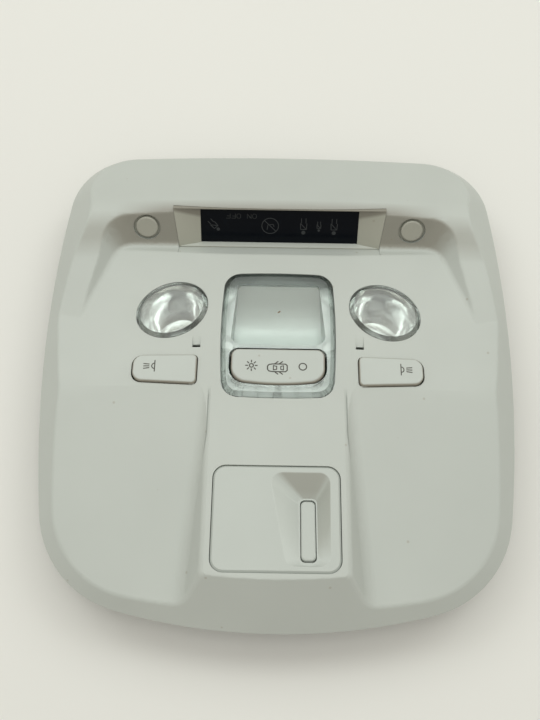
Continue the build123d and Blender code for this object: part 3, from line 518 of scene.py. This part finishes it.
@dataclass(frozen=True)
class RolledSteel:
    """Plated steel with fine rolling lines."""

    name: str
    slot: str
    colour: Colour
    rough: float
    rough_spread: Spot = (-0.06, 0.12)
    line_scale: float = 220.0
    line_stretch: Colour = (1.0, 14.0, 1.0)
    line_shade: float = 0.8
    line_depth: float = 0.00002
    line_share: float = 0.4

    def material(self) -> bpy.types.Material:
        """Builds the material.

        Returns:
            The material.
        """
        graph = NodeGraph(self.name)
        lie = graph.stretched(self.line_stretch)
        lines = graph.noise(self.line_scale, detail=4.0, vector=lie)
        shade = scaled(self.colour, self.line_shade)
        graph.colour(graph.blend(graph.remap(lines), self.colour, shade))
        graph.roughness(graph.remap(lines, result=around(self.rough, self.rough_spread)))
        graph.bump(lines, self.line_depth, self.line_share)
        graph.set(Metallic=1.0)
        return graph.material


@dataclass(frozen=True)
class SolderMask:
    """Green circuit board with paler copper runs under the lacquer."""

    name: str
    slot: str
    colour: Colour = (0.012, 0.085, 0.035)
    rough: Spot = (0.25, 0.4)
    rough_scale: float = 120.0
    run_scale: float = 140.0
    run_width: float = 0.06
    run_lift: float = 1.35
    run_height: float = 0.00001

    def material(self) -> bpy.types.Material:
        """Builds the material.

        Returns:
            The material.
        """
        graph = NodeGraph(self.name)
        runs = graph.add("ShaderNodeTexBrick")
        runs.inputs["Scale"].default_value = self.run_scale
        runs.inputs["Mortar Size"].default_value = self.run_width
        graph.link(graph.place, runs.inputs["Vector"])
        copper = runs.outputs["Fac"]
        graph.colour(graph.blend(copper, self.colour, scaled(self.colour, self.run_lift)))
        graph.roughness(graph.remap(graph.noise(self.rough_scale), result=self.rough))
        graph.bump(copper, self.run_height)
        return graph.material


Finish = (MouldedPlastic | ClearPlastic | SilverPlating | DisplayGlass | PrintedInk | RolledSteel
          | SolderMask)

COVER_GREY: Colour = (0.525, 0.552, 0.520)
TRIM_GREY: Colour = (0.525, 0.556, 0.525)
PEARL: Colour = (0.93, 0.93, 0.90)
SATIN_SILVER: Colour = (0.70, 0.75, 0.73)
TRIM_ROUGH = 0.36

# Painted shade: the wall under the brow and the brow's rounding edge above it are darkened.
PAINTED_WALL_SHADE = PaintedLight((0.310, 0.300, 0.260), WALL_WAY, (0.54, 0.92), (Fade(Axis.Y, 0.060, 0.070),))
PAINTED_LIP_SHADE = PaintedLight((0.330, 0.320, 0.285), TOP_WAY, (0.86, 0.97),
           (Fade(Axis.Y, 0.0905, 0.0840), Fade(Axis.Y, 0.0760, 0.0800),
            Fade(Axis.X, -0.085, -0.060), Fade(Axis.X, 0.085, 0.060)))
# Painted shade darkens the display bezel along its head, and painted light makes its sill paler.
PAINTED_BEZEL_HEAD_SHADE = PaintedLight((0.270, 0.255, 0.215), WALL_WAY, ANY_FACING, (Fade(Axis.Y, 0.0826, 0.0836),))
PAINTED_BEZEL_SILL_LIGHT = PaintedLight((0.620, 0.650, 0.610), SILL_WAY, (0.90, 0.97),
                  (Fade(Axis.Y, 0.0785, 0.0765),))
# Painted shade darkens the keys' edges and the finger scoop's head and wall; painted light makes
# its ramp pale.
PAINTED_KEY_EDGE_SHADE = PaintedLight((0.340, 0.315, 0.265), TOP_WAY, (0.95, 0.62))
PAINTED_SCOOP_HEAD_SHADE = PaintedLight((0.390, 0.394, 0.356), HEAD_WAY, (0.87, 0.985),
                  (Fade(Axis.Y, -0.0740, -0.0620),))
PAINTED_SCOOP_WALL_SHADE = PaintedLight((0.440, 0.458, 0.420), CHEEK_WAY, (0.86, 0.97),
                  (Fade(Axis.X, 0.0120, 0.0160),))
PAINTED_SCOOP_RAMP_LIGHT = PaintedLight((0.560, 0.592, 0.560), RAMP_WAY, (0.91, 0.97),
                  (Fade(Axis.X, 0.0100, 0.0030),))
# Painted shade darkens the dome frame along its front strip and makes the bowls duller near their
# rims.
PAINTED_STRIP_SHADE = PaintedLight((0.14, 0.16, 0.15), TOP_WAY, (0.90, 0.98), (Fade(Axis.Y, 0.0385, 0.0450),))
PAINTED_BOWL_RIM_SHADE = PaintedLight((0.340, 0.335, 0.300), REAR_WAY, (0.45, 0.70),
                  (Fade(Axis.Z, 0.0215, 0.0245),))

# The cover, plate, key, bezel, bowl and frame finishes below carry painted shade and light.
COVER = MouldedPlastic("cover_plastic", "cover_plastic", COVER_GREY, painted_lights=(PAINTED_WALL_SHADE, PAINTED_LIP_SHADE))
TRIM = MouldedPlastic("trim_plastic", "trim_plastic", TRIM_GREY, rough=TRIM_ROUGH)
PLATE = MouldedPlastic("plate_plastic", "trim_plastic", TRIM_GREY, rough=TRIM_ROUGH,
                       painted_lights=(PAINTED_SCOOP_HEAD_SHADE, PAINTED_SCOOP_WALL_SHADE, PAINTED_SCOOP_RAMP_LIGHT))
KEY = MouldedPlastic("key_plastic", "trim_plastic", TRIM_GREY, rough=TRIM_ROUGH,
                     painted_lights=(PAINTED_KEY_EDGE_SHADE,))
BEZEL = MouldedPlastic("bezel_plastic", "bezel_plastic", (0.450, 0.448, 0.385), rough=0.45,
                       painted_lights=(PAINTED_BEZEL_HEAD_SHADE, PAINTED_BEZEL_SILL_LIGHT))
SENSOR = MouldedPlastic("sensor_plastic", "bezel_plastic", (0.415, 0.410, 0.355), rough=0.40)
FRAME_GREY = MouldedPlastic("housing_plastic", "frame_plastic", (0.095, 0.098, 0.095), rough=0.5)
HOLDER_IVORY = MouldedPlastic("holder_plastic", "holder_plastic", (0.62, 0.61, 0.54), rough=0.45)
SOCKET_BLACK = MouldedPlastic("socket_plastic", "holder_plastic", (0.018, 0.018, 0.018), rough=0.45)
SWITCH_BLACK = MouldedPlastic("switch_plastic", "switch_plastic", (0.012, 0.012, 0.014), rough=0.4)
SLIDER_WHITE = MouldedPlastic("slider_plastic", "slider_plastic", (0.60, 0.60, 0.54), rough=0.4)
LENS = ClearPlastic("lens_plastic", "clear_lens")
MAP_LENS = ClearPlastic("map_lens_plastic", "clear_lens", clear=0.90)
BULB = ClearPlastic("bulb_glass", "bulb_glass", tint=PEARL, rim=None, rough=0.25, clear=0.2)
MIRROR = SilverPlating("bowl_silver", "silvered_plastic", (0.96, 0.98, 0.97), rough=0.14,
                       wave=0.0020, haze=0.10, painted_lights=(PAINTED_BOWL_RIM_SHADE,))
SATIN = SilverPlating("trough_silver", "silvered_plastic", SATIN_SILVER, rough=0.32,
                      wave=0.0002, haze=0.06)
FRAME_SILVER = SilverPlating("frame_silver", "frame_plastic", SATIN_SILVER, rough=0.36,
                             wave=0.0, haze=0.04, painted_lights=(PAINTED_STRIP_SHADE,))
WINDOW = DisplayGlass("window_glass", "display_glass")
INK = PrintedInk("key_ink", "trim_plastic", (0.060, 0.055, 0.046))
GHOST = PrintedInk("window_ink", "display_glass", (0.022, 0.025, 0.028))
FAINT_GHOST = PrintedInk("window_faint_ink", "display_glass", (0.014, 0.016, 0.018))
SPECK = PrintedInk("rust_speck", "clear_lens", (0.23, 0.15, 0.08))
CLIP_STEEL = RolledSteel("clip_steel", "spring_steel", (0.50, 0.50, 0.49), rough=0.35)
SCREW_STEEL = RolledSteel("screw_steel", "screw_steel", (0.58, 0.57, 0.54), rough=0.30)
BOARD = SolderMask("board_lacquer", "board")


class Paintshop:
    """Keeps one material for each finish."""

    def __init__(self) -> None:
        """Starts with no materials."""
        self.made: dict[str, bpy.types.Material] = {}

    def coat(self, piece: bpy.types.Object, finish: Finish) -> None:
        """Gives a piece its finish.

        Args:
            piece: object to dress.
            finish: finish it gets.
        """
        if finish.name not in self.made:
            self.made[finish.name] = finish.material()
        piece.data.materials.clear()
        piece.data.materials.append(self.made[finish.name])


shop = Paintshop()


def pick(piece: bpy.types.Object) -> None:
    """Selects one object alone and makes it active.

    Args:
        piece: object to select.
    """
    bpy.ops.object.select_all(action="DESELECT")
    piece.select_set(True)
    bpy.context.view_layer.objects.active = piece


def apply_place() -> None:
    """Moves the place, turn and size of what is selected into its mesh."""
    bpy.ops.object.transform_apply(location=True, rotation=True, scale=True)


def settle(piece: bpy.types.Object, body: Body, finish: Finish) -> None:
    """Dresses a finished piece and lets it ride on its body.

    Args:
        piece: object at the origin.
        body: body that carries it.
        finish: finish it gets.
    """
    shop.coat(piece, finish)
    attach(piece, body.value)
    log.info("%s: %d faces on %s", piece.name, len(piece.data.polygons), body.value)


MERGE_DISTANCE = 0.000002
SKIN_ANGLE = 32.0
COVER_ANGLE = 30.0
LENS_ANGLE = 20.0


def smooth_skin(node: str, body: Body, finish: Finish, angle: float = SKIN_ANGLE) -> None:
    """Stands a smooth-shaded copy of a moulded node in its place.

    Args:
        node: name of the node.
        body: body that carries it.
        finish: finish it gets.
        angle: edges sharper than this stay sharp, in degrees.
    """
    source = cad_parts[node]
    skin = source.copy()
    skin.data = source.data.copy()
    skin.name = f"{node}_skin"
    bpy.context.collection.objects.link(skin)
    pick(skin)
    bpy.ops.mesh.customdata_custom_splitnormals_clear()
    bpy.ops.object.mode_set(mode="EDIT")
    bpy.ops.mesh.select_all(action="SELECT")
    bpy.ops.mesh.remove_doubles(threshold=MERGE_DISTANCE)
    bpy.ops.object.mode_set(mode="OBJECT")
    bpy.ops.object.shade_smooth_by_angle(angle=math.radians(angle))
    weighted = skin.modifiers.new("even_shading", "WEIGHTED_NORMAL")
    weighted.keep_sharp = True
    bpy.ops.object.modifier_apply(modifier=weighted.name)
    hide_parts(node)
    settle(skin, body, finish)


def plain_node(node: str, finish: Finish) -> None:
    """Gives a node that keeps its own mesh a better finish.

    Args:
        node: name of the node.
        finish: finish it gets.
    """
    shop.coat(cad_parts[node], finish)
    log.info("%s: finish %s", node, finish.name)


@dataclass(frozen=True)
class ConsoleForm:
    """Datum planes of the console, in millimetres and degrees."""

    lift: float = 22.0
    plateau_height: float = 16.1
    plateau_slope: float = 6.0
    panel_tilt: float = 4.0
    ridge_half: float = 33.5
    panel_x: float = 54.0
    display_slope: float = 54.0
    display_y: float = 77.689
    display_height: float = 11.3

    @staticmethod
    def _plane(origin: Vector, normal: Vector) -> Matrix:
        """Frame of a flat surface, with its X to the right.

        Args:
            origin: point on it, in millimetres.
            normal: outward direction, of length 1.

        Returns:
            The matrix from the surface's own metres to the console's frame.
        """
        right = Vector((1.0, 0.0, 0.0))
        side = (right - normal * right.dot(normal)).normalized()
        turn = Matrix((side, normal.cross(side), normal)).transposed().to_4x4()
        return Matrix.Translation(origin * MM) @ turn

    def plateau(self, height: float) -> Matrix:
        """Frame parallel to the plateau.

        Args:
            height: distance above it.

        Returns:
            The frame.
        """
        slope = math.radians(self.plateau_slope)
        normal = Vector((0.0, math.sin(slope), math.cos(slope))).normalized()
        origin = Vector((0.0, 0.0, self.plateau_height + self.lift))
        return self._plane(origin + normal * height, normal)

    def panel(self, side: Side, height: float) -> Matrix:
        """Frame parallel to a side panel.

        Args:
            side: which panel.
            height: distance above it.

        Returns:
            The frame.
        """
        tilt = math.tan(math.radians(self.panel_tilt))
        slope = math.tan(math.radians(self.plateau_slope))
        normal = Vector((side.value * tilt, slope, 1.0)).normalized()
        drop = (self.panel_x - self.ridge_half) * tilt
        origin = Vector((side.value * self.panel_x, 0.0, self.plateau_height - drop + self.lift))
        return self._plane(origin + normal * height, normal)

    def display(self, height: float) -> Matrix:
        """Frame parallel to the sloped display wall.

        Args:
            height: distance in front of it.

        Returns:
            The frame.
        """
        slope = math.radians(self.display_slope)
        normal = Vector((0.0, -math.sin(slope), math.cos(slope))).normalized()
        origin = Vector((0.0, self.display_y, self.display_height + self.lift))
        return self._plane(origin + normal * height, normal)


FORM = ConsoleForm()
INK_THICKNESS = 0.00006
DISC_SIDES = 24
JOINT_SIDES = 12
RING_SIDES = 48


class Stamp:
    """Flat printed mark built from bars, rings and discs in its own frame."""

    def __init__(self, name: str) -> None:
        """Starts an empty mark.

        Args:
            name: name of the finished piece.
        """
        self.name = name
        self.strokes: list[bpy.types.Object] = []

    def _circle(self, centre: Spot, radius: float, sides: int) -> None:
        """Draws a flat filled circle.

        Args:
            centre: middle, in millimetres.
            radius: radius.
            sides: corners of the outline.
        """
        bpy.ops.object.select_all(action="DESELECT")
        bpy.ops.mesh.primitive_circle_add(vertices=sides, radius=radius * MM, fill_type="NGON",
                                          location=(centre[0] * MM, centre[1] * MM, 0.0))
        apply_place()

    def _thicken(self) -> None:
        """Gives the flat stroke that was just drawn its thickness."""
        stroke = bpy.context.active_object
        bpy.ops.object.mode_set(mode="EDIT")
        bpy.ops.mesh.select_all(action="SELECT")
        rise = {"value": (0.0, 0.0, INK_THICKNESS)}
        bpy.ops.mesh.extrude_region_move(TRANSFORM_OT_translate=rise)
        bpy.ops.mesh.select_all(action="SELECT")
        bpy.ops.mesh.normals_make_consistent(inside=False)
        bpy.ops.object.mode_set(mode="OBJECT")
        self.strokes.append(stroke)

    def bar(self, start: Spot, end: Spot, width: float) -> None:
        """Adds a straight stroke.

        Args:
            start: first end, in millimetres.
            end: last end.
            width: width of the stroke.
        """
        run = Vector(end) - Vector(start)
        middle = (Vector(start) + Vector(end)) / 2
        bpy.ops.object.select_all(action="DESELECT")
        bpy.ops.mesh.primitive_plane_add(size=1.0, location=(middle.x * MM, middle.y * MM, 0.0),
                                         rotation=(0.0, 0.0, math.atan2(run.y, run.x)))
        bpy.context.active_object.scale = (run.length * MM, width * MM, 1.0)
        apply_place()
        self._thicken()

    def disc(self, centre: Spot, radius: float, sides: int = DISC_SIDES) -> None:
        """Adds a filled disc; its arguments are those of a circle."""
        self._circle(centre, radius, sides)
        self._thicken()

    def ring(self, centre: Spot, radius: float, width: float, keep: Spot | None = None) -> None:
        """Adds a ring, or the half of it on one side of its middle.

        Args:
            centre: middle, in millimetres.
            radius: outer radius.
            width: width of the stroke.
            keep: direction of the half that stays, or None for the whole ring.
        """
        self._circle(centre, radius, RING_SIDES)
        bpy.ops.object.mode_set(mode="EDIT")
        bpy.ops.mesh.select_all(action="SELECT")
        bpy.ops.mesh.inset(thickness=width * MM)
        bpy.ops.mesh.delete(type="FACE")
        if keep:
            bpy.ops.mesh.select_all(action="SELECT")
            bpy.ops.mesh.bisect(plane_co=(centre[0] * MM, centre[1] * MM, 0.0),
                                plane_no=(*keep, 0.0), clear_inner=True)
        bpy.ops.object.mode_set(mode="OBJECT")
        self._thicken()

    def path(self, spots: Sequence[Spot], width: float, closed: bool = False) -> None:
        """Adds a bent stroke with rounded joints.

        Args:
            spots: corners, in millimetres.
            width: width of the stroke.
            closed: whether the last corner joins the first.
        """
        runs = list(zip(spots, spots[1:]))
        if closed:
            runs.append((spots[-1], spots[0]))
        for start, end in runs:
            self.bar(start, end, width)
        for spot in spots:
            self.disc(spot, width / 2, JOINT_SIDES)

    def press(self, place: Matrix, body: Body, finish: Finish) -> None:
        """Joins the strokes and sets the mark on its surface.

        Args:
            place: frame of the surface, in metres.
            body: body that carries it.
            finish: ink.
        """
        mark = self.strokes[0]
        pick(mark)
        for stroke in self.strokes:
            stroke.select_set(True)
        if len(self.strokes) > 1:
            bpy.ops.object.join()
        mark.name = self.name
        mark.matrix_world = place @ Matrix.Translation((0.0, 0.0, -INK_THICKNESS / 2))
        apply_place()
        settle(mark, body, finish)


def moved(spots: Sequence[Spot], shift: Spot) -> list[Spot]:
    """Copies points to another place."""
    return [(u + shift[0], v + shift[1]) for u, v in spots]


@dataclass
class Shell:
    """Cover, rear housing and what fastens them."""

    cover_angle: float = COVER_ANGLE
    clip_ends: tuple[str, str] = ("front", "rear")

    def build(self) -> None:
        """Dresses the shell."""
        smooth_skin("front_cover", Body.CONSOLE, COVER, self.cover_angle)
        smooth_skin("rear_housing", Body.CONSOLE, FRAME_GREY)
        smooth_skin("housing_screws", Body.CONSOLE, SCREW_STEEL)
        smooth_skin("main_connector", Body.CONSOLE, SOCKET_BLACK)
        plain_node("main_board", BOARD)
        for end in self.clip_ends:
            for side in Side:
                smooth_skin(f"{end}_clip_{side.word}", Body.CONSOLE, CLIP_STEEL)


@dataclass
class DomeLamp:
    """Dome lens, its reflector and the three-way rocker with its marks, in millimetres."""

    key_height: float = 2.4
    line: float = 0.58
    sun: Spot = (-12.9, -1.3)
    sun_radius: float = 1.25
    sun_rays: int = 8
    ray_start: float = 1.65
    ray_end: float = 3.0
    car: Spot = (-0.2, -2.4)
    car_half: tuple[Spot, ...] = (
        (-4.85, 0.9), (-4.1, 1.75), (-2.5, 2.05), (3.9, 2.05), (4.7, 1.3))
    car_rear_pane: tuple[Spot, ...] = ((-2.0, 1.15), (-2.0, -1.15), (-0.4, -0.8), (-0.4, 0.8))
    car_front_pane: tuple[Spot, ...] = ((1.6, 0.8), (1.6, -0.8), (2.9, -1.15), (2.9, 1.15))
    pane_share: float = 0.85
    door_hinges: tuple[Spot, ...] = ((-1.5, 2.05), (0.7, 2.05))
    door_swing: Spot = (1.7, 1.3)
    ring: Spot = (12.1, -1.6)
    ring_radius: float = 2.1
    lens_height: float = 1.4
    speck: Spot = (0.24, 29.1)
    speck_run: tuple[Spot, ...] = ((-0.45, -0.25), (0.1, 0.0), (0.5, 0.35))
    speck_width: float = 0.62

    def build(self) -> None:
        """Dresses the lamp and prints its marks."""
        smooth_skin("dome_lens", Body.CONSOLE, LENS, LENS_ANGLE)
        smooth_skin("dome_frame", Body.CONSOLE, FRAME_SILVER)
        smooth_skin("dome_reflector", Body.CONSOLE, SATIN)
        smooth_skin("dome_rocker", Body.DOME_ROCKER, KEY)
        smooth_skin("dome_bulb", Body.CONSOLE, BULB)
        smooth_skin("dome_bulb_holder", Body.CONSOLE, HOLDER_IVORY)
        plain_node("dome_slider", SLIDER_WHITE)
        plain_node("dome_switch", SWITCH_BLACK)
        self._sun()
        self._car()
        self._off_ring()
        self._speck()

    def _print(self, stamp: Stamp) -> None:
        """Prints a mark on the rocker."""
        stamp.press(FORM.plateau(self.key_height), Body.DOME_ROCKER, INK)

    def _sun(self) -> None:
        """Draws the sun for light on."""
        stamp = Stamp("dome_mark_sun")
        centre = Vector(self.sun)
        stamp.ring(self.sun, self.sun_radius, self.line)
        for step in range(self.sun_rays):
            turn = math.radians(360.0 / self.sun_rays * step)
            ray = Vector((math.cos(turn), math.sin(turn)))
            start, end = (tuple(centre + ray * reach) for reach in (self.ray_start, self.ray_end))
            stamp.bar(start, end, self.line)
        self._print(stamp)

    def _car(self) -> None:
        """Draws the car with open doors for light with the doors."""
        stamp = Stamp("dome_mark_doors")
        outline = [*self.car_half, *((u, -v) for u, v in reversed(self.car_half))]
        stamp.path(moved(outline, self.car), self.line, closed=True)
        for pane in (self.car_rear_pane, self.car_front_pane):
            stamp.path(moved(pane, self.car), self.line * self.pane_share, closed=True)
        for u, v in self.door_hinges:
            for side in Side:
                tip = (u + self.door_swing[0], (v + self.door_swing[1]) * side.value)
                stamp.path(moved([(u, v * side.value), tip], self.car), self.line)
        self._print(stamp)

    def _off_ring(self) -> None:
        """Draws the ring for light off."""
        stamp = Stamp("dome_mark_ring")
        stamp.ring(self.ring, self.ring_radius, self.line)
        self._print(stamp)

    def _speck(self) -> None:
        """Leaves the brown speck of dirt on the lens."""
        stamp = Stamp("dome_lens_speck")
        stamp.path(moved(self.speck_run, self.speck), self.speck_width)
        stamp.press(FORM.plateau(self.lens_height), Body.CONSOLE, SPECK)


@dataclass
class MapLamp:
    """One map lamp with its key, mirrored for the left side, in millimetres."""

    side: Side
    key_height: float = 1.8
    line: float = 0.52
    bar_u: float = 6.1
    bar_half: float = 3.1
    bowl_radius: float = 1.7
    beam_start: Spot = (2.6, 0.95)
    beam_end: Spot = (5.6, 1.3)
    mark_v: float = -1.3

    def build(self) -> None:
        """Dresses the lamp and prints the key's mark."""
        word = self.side.word
        key = Body.BUTTON_RIGHT if self.side is Side.RIGHT else Body.BUTTON_LEFT
        smooth_skin(f"map_lens_{word}", Body.CONSOLE, MAP_LENS, LENS_ANGLE)
        smooth_skin(f"map_reflector_{word}", Body.CONSOLE, MIRROR)
        smooth_skin(f"map_bulb_{word}", Body.CONSOLE, BULB)
        smooth_skin(f"map_bulb_holder_{word}", Body.CONSOLE, HOLDER_IVORY)
        smooth_skin(f"map_button_{word}", key, KEY)
        plain_node(f"map_plunger_{word}", SLIDER_WHITE)
        plain_node(f"map_switch_{word}", SWITCH_BLACK)
        self._mark(key)

    def _mark(self, key: Body) -> None:
        """Prints the lamp with its three beams.

        Args:
            key: body of the key.
        """
        out = self.side.value
        stamp = Stamp(f"map_mark_{self.side.word}")

        def at(u: float, v: float) -> Spot:
            """Place on the key, from the middle of the bar; u runs outwards."""
            return (out * (self.bar_u + u), v + self.mark_v)

        stamp.bar(at(0.0, -self.bar_half), at(0.0, self.bar_half), self.line)
        stamp.ring(at(0.0, 0.0), self.bowl_radius, self.line, keep=(float(out), 0.0))
        for lean in (-1.0, 0.0, 1.0):
            start, end = ((u, lean * v) for u, v in (self.beam_start, self.beam_end))
            stamp.bar(at(*start), at(*end), self.line)
        stamp.press(FORM.panel(self.side, self.key_height), key, INK)


@dataclass
class Display:
    """Indicator display with its faint unlit marks and the sensors beside it, in millimetres."""

    window_depth: float = -3.6
    line: float = 0.42
    belt_marks: tuple[Spot, ...] = ((12.7, 1.0), (20.8, 0.62), (28.8, 1.0))
    passenger_u: float = -34.4
    passenger_size: float = 0.85
    passenger_lean: float = 42.0
    head: Spot = (0.0, 3.6)
    head_radius: float = 1.1
    trunk: tuple[Spot, ...] = ((-1.7, -1.6), (-1.5, 1.8), (1.5, 1.8), (1.7, -1.6))
    belt: tuple[Spot, Spot] = ((-1.4, 1.7), (1.5, -1.5))
    leg: tuple[Spot, Spot] = ((1.2, -1.9), (1.2, -4.4))
    off_ring: Spot = (-4.9, 0.0)
    off_ring_radius: float = 4.6
    slash: Spot = (3.05, -3.05)
    seat: tuple[Spot, ...] = ((-1.6, -2.2), (-1.2, 0.6), (1.6, 0.9), (2.0, -0.4))
    words: str = "ON OFF"
    words_start: Spot = (-12.2, 6.6)
    words_share: float = 0.8
    letter_height: float = 2.5
    letter_width: float = 2.0
    letter_gap: float = 0.75

    def build(self) -> None:
        """Dresses the display and prints its marks."""
        smooth_skin("display_bezel", Body.CONSOLE, BEZEL)
        plain_node("display_window", WINDOW)
        plain_node("display_board", BOARD)
        for side in Side:
            smooth_skin(f"alarm_sensor_{side.word}", Body.CONSOLE, SENSOR)
        for number, (u, size) in enumerate(self.belt_marks):
            self._sitter(f"display_mark_belt_{number}", u, size)
        self._sitter("display_mark_passenger", self.passenger_u, self.passenger_size,
                     self.passenger_lean)
        self._seat_off()
        self._words()

    def _print(self, stamp: Stamp, ink: PrintedInk) -> None:
        """Prints a mark on the window."""
        stamp.press(FORM.display(self.window_depth), Body.CONSOLE, ink)

    def _sitter(self, name: str, u: float, size: float, lean: float = 0.0) -> None:
        """Draws a sitting figure with a belt, seen upside down.

        Args:
            name: name of the piece.
            u: place across the window.
            size: scale of the figure.
            lean: angle that the figure leans by, in degrees.
        """
        stamp = Stamp(name)
        turn = Matrix.Rotation(math.radians(180.0 + lean), 2)

        def at(spot: Spot) -> Spot:
            """Place on the window, turned head down."""
            return tuple(Vector((u, 0.0)) + turn @ Vector(spot) * size)

        stamp.disc(at(self.head), self.head_radius * size)
        stamp.path([at(spot) for spot in self.trunk], self.line)
        stamp.bar(at(self.belt[0]), at(self.belt[1]), self.line)
        for side in reversed(Side):
            stamp.path([at((side.value * a, b)) for a, b in self.leg], self.line)
        self._print(stamp, GHOST)

    def _seat_off(self) -> None:
        """Draws the crossed ring with a seat in it."""
        stamp = Stamp("display_mark_seat_off")
        centre, slash = Vector(self.off_ring), Vector(self.slash)
        stamp.ring(self.off_ring, self.off_ring_radius, self.line)
        stamp.bar(tuple(centre - slash), tuple(centre + slash), self.line)
        stamp.path(moved(self.seat, self.off_ring), self.line)
        self._print(stamp, GHOST)

    def _words(self) -> None:
        """Draws ON and OFF, seen upside down."""
        stamp = Stamp("display_mark_on_off")
        strokes = {
            "N": [[(0, 0), (0, 1), (1, 0), (1, 1)]],
            "F": [[(0, 0), (0, 1), (1, 1)], [(0, 0.5), (0.8, 0.5)]],
            "O": [[(0, 0.2), (0, 0.8), (0.3, 1), (0.7, 1), (1, 0.8), (1, 0.2), (0.7, 0), (0.3, 0),
                   (0, 0.2)]],
        }
        start_u, top_v = self.words_start
        for place, letter in enumerate(self.words):
            left = start_u - place * (self.letter_width + self.letter_gap)
            for run in strokes.get(letter, []):
                spots = [(left - a * self.letter_width, top_v - b * self.letter_height)
                         for a, b in run]
                stamp.path(spots, self.line * self.words_share)
        self._print(stamp, FAINT_GHOST)


@dataclass
class BlindSwitch:
    """Switch plate with its finger scoop and the rocking bar."""

    scoop_angle: float = SKIN_ANGLE

    def build(self) -> None:
        """Dresses the switch."""
        smooth_skin("blind_bezel", Body.CONSOLE, PLATE, self.scoop_angle)
        smooth_skin("blind_rocker", Body.BLIND_BAR, TRIM)
        plain_node("blind_slider", SLIDER_WHITE)
        plain_node("blind_switch", SWITCH_BLACK)


@dataclass
class Studio:
    """Pale floor, soft light and the camera at the photograph's angle."""

    # The camera is set in millimetres and degrees, all else in metres.
    target: tuple[float, float, float] = (-3.9, 5.1, 31.8)
    distance: float = 441.0
    tilt: float = 20.0
    roll: float = 0.9
    lens: float = 44.3
    clip_start: float = 0.01
    sky: Colour = (0.97, 0.93, 0.84)
    sky_strength: float = 0.50
    floor_size: float = 6.0
    floor_drop: float = 0.0002
    floor_colour: Colour = (0.83, 0.82, 0.79)
    floor_shade: float = 0.98
    floor_scale: float = 3.0
    floor_rough: float = 0.8
    lamp_spot: tuple[float, float, float] = (0.86, 0.75, 1.20)
    lamp_aim: tuple[float, float, float] = (0.0, 0.0, 0.03)
    lamp_size: Spot = (0.70, 0.70)
    lamp_power: float = 3.6
    lamp_tint: Colour = (0.95, 1.0, 0.97)
    panel_spot: tuple[float, float, float] = (0.0, 0.80, 1.25)
    panel_size: Spot = (1.2, 0.9)
    panel_power: float = 3.8
    ceiling_spot: tuple[float, float, float] = (0.0, -0.34, 1.36)
    ceiling_size: Spot = (0.80, 1.10)
    ceiling_power: float = 4.1

    def build(self) -> None:
        """Sets up the floor, the lights and the camera."""
        self._floor()
        self._sky()
        for side in Side:
            spot = Vector((side.value * self.lamp_spot[0], *self.lamp_spot[1:]))
            self._lamp(f"soft_lamp_{side.word}", spot, self.lamp_size, self.lamp_power)
        self._lamp("soft_panel", Vector(self.panel_spot), self.panel_size, self.panel_power)
        self._lamp("soft_ceiling", Vector(self.ceiling_spot), self.ceiling_size, self.ceiling_power)
        self._camera()

    def _floor(self) -> None:
        """Lays the floor under the console."""
        bpy.ops.object.select_all(action="DESELECT")
        bpy.ops.mesh.primitive_plane_add(size=self.floor_size,
                                         location=(0.0, 0.0, -self.floor_drop))
        floor = bpy.context.active_object
        floor.name = "studio_floor"
        graph = NodeGraph("studio_floor")
        patches = graph.remap(graph.noise(self.floor_scale))
        shade = scaled(self.floor_colour, self.floor_shade)
        graph.colour(graph.blend(patches, self.floor_colour, shade))
        graph.set(Roughness=self.floor_rough)
        floor.data.materials.append(graph.material)

    def _sky(self) -> None:
        """Lights the room evenly."""
        world = bpy.data.worlds.new("studio_room")
        world.use_nodes = True
        back = world.node_tree.nodes["Background"]
        back.inputs["Color"].default_value = (*self.sky, 1.0)
        back.inputs["Strength"].default_value = self.sky_strength
        bpy.context.scene.world = world

    def _lamp(self, name: str, spot: Vector, size: Spot, power: float) -> None:
        """Hangs a soft flat lamp that looks at the console.

        Args:
            name: name of the lamp.
            spot: its place.
            size: its two sides.
            power: watts.
        """
        lamp = bpy.data.lights.new(name, "AREA")
        lamp.shape = "RECTANGLE"
        lamp.size, lamp.size_y = size
        lamp.energy = power
        lamp.color = self.lamp_tint
        stand = bpy.data.objects.new(name, lamp)
        stand.location = spot
        stand.rotation_euler = (Vector(self.lamp_aim) - spot).to_track_quat("-Z", "Y").to_euler()
        bpy.context.collection.objects.link(stand)

    def _camera(self) -> None:
        """Places the camera as the photograph was taken."""
        tilt = math.radians(self.tilt)
        roll = math.radians(self.roll)
        back = Vector((0.0, -math.sin(tilt), math.cos(tilt)))
        level = Vector((1.0, 0.0, 0.0))
        rise = back.cross(level)
        right = level * math.cos(roll) + rise * math.sin(roll)
        up = rise * math.cos(roll) - level * math.sin(roll)
        data = bpy.data.cameras.new("photo_camera")
        data.lens = self.lens
        data.clip_start = self.clip_start
        camera = bpy.data.objects.new("photo_camera", data)
        spot = Matrix.Translation((Vector(self.target) + back * self.distance) * MM)
        camera.matrix_world = spot @ Matrix((right, up, back)).transposed().to_4x4()
        bpy.context.collection.objects.link(camera)
        bpy.context.scene.camera = camera
        bpy.context.scene.view_settings.view_transform = "Standard"


def main() -> None:
    """Builds the whole console in order; each piece is reported as it is dressed."""
    logging.basicConfig(level=logging.INFO, format="%(name)s %(message)s")
    map_lamps = [MapLamp(side) for side in Side]
    for part in (Shell(), Display(), DomeLamp(), *map_lamps, BlindSwitch(), Studio()):
        part.build()
        log.info("%s is ready", type(part).__name__)


if __name__ == "__main__":
    main()
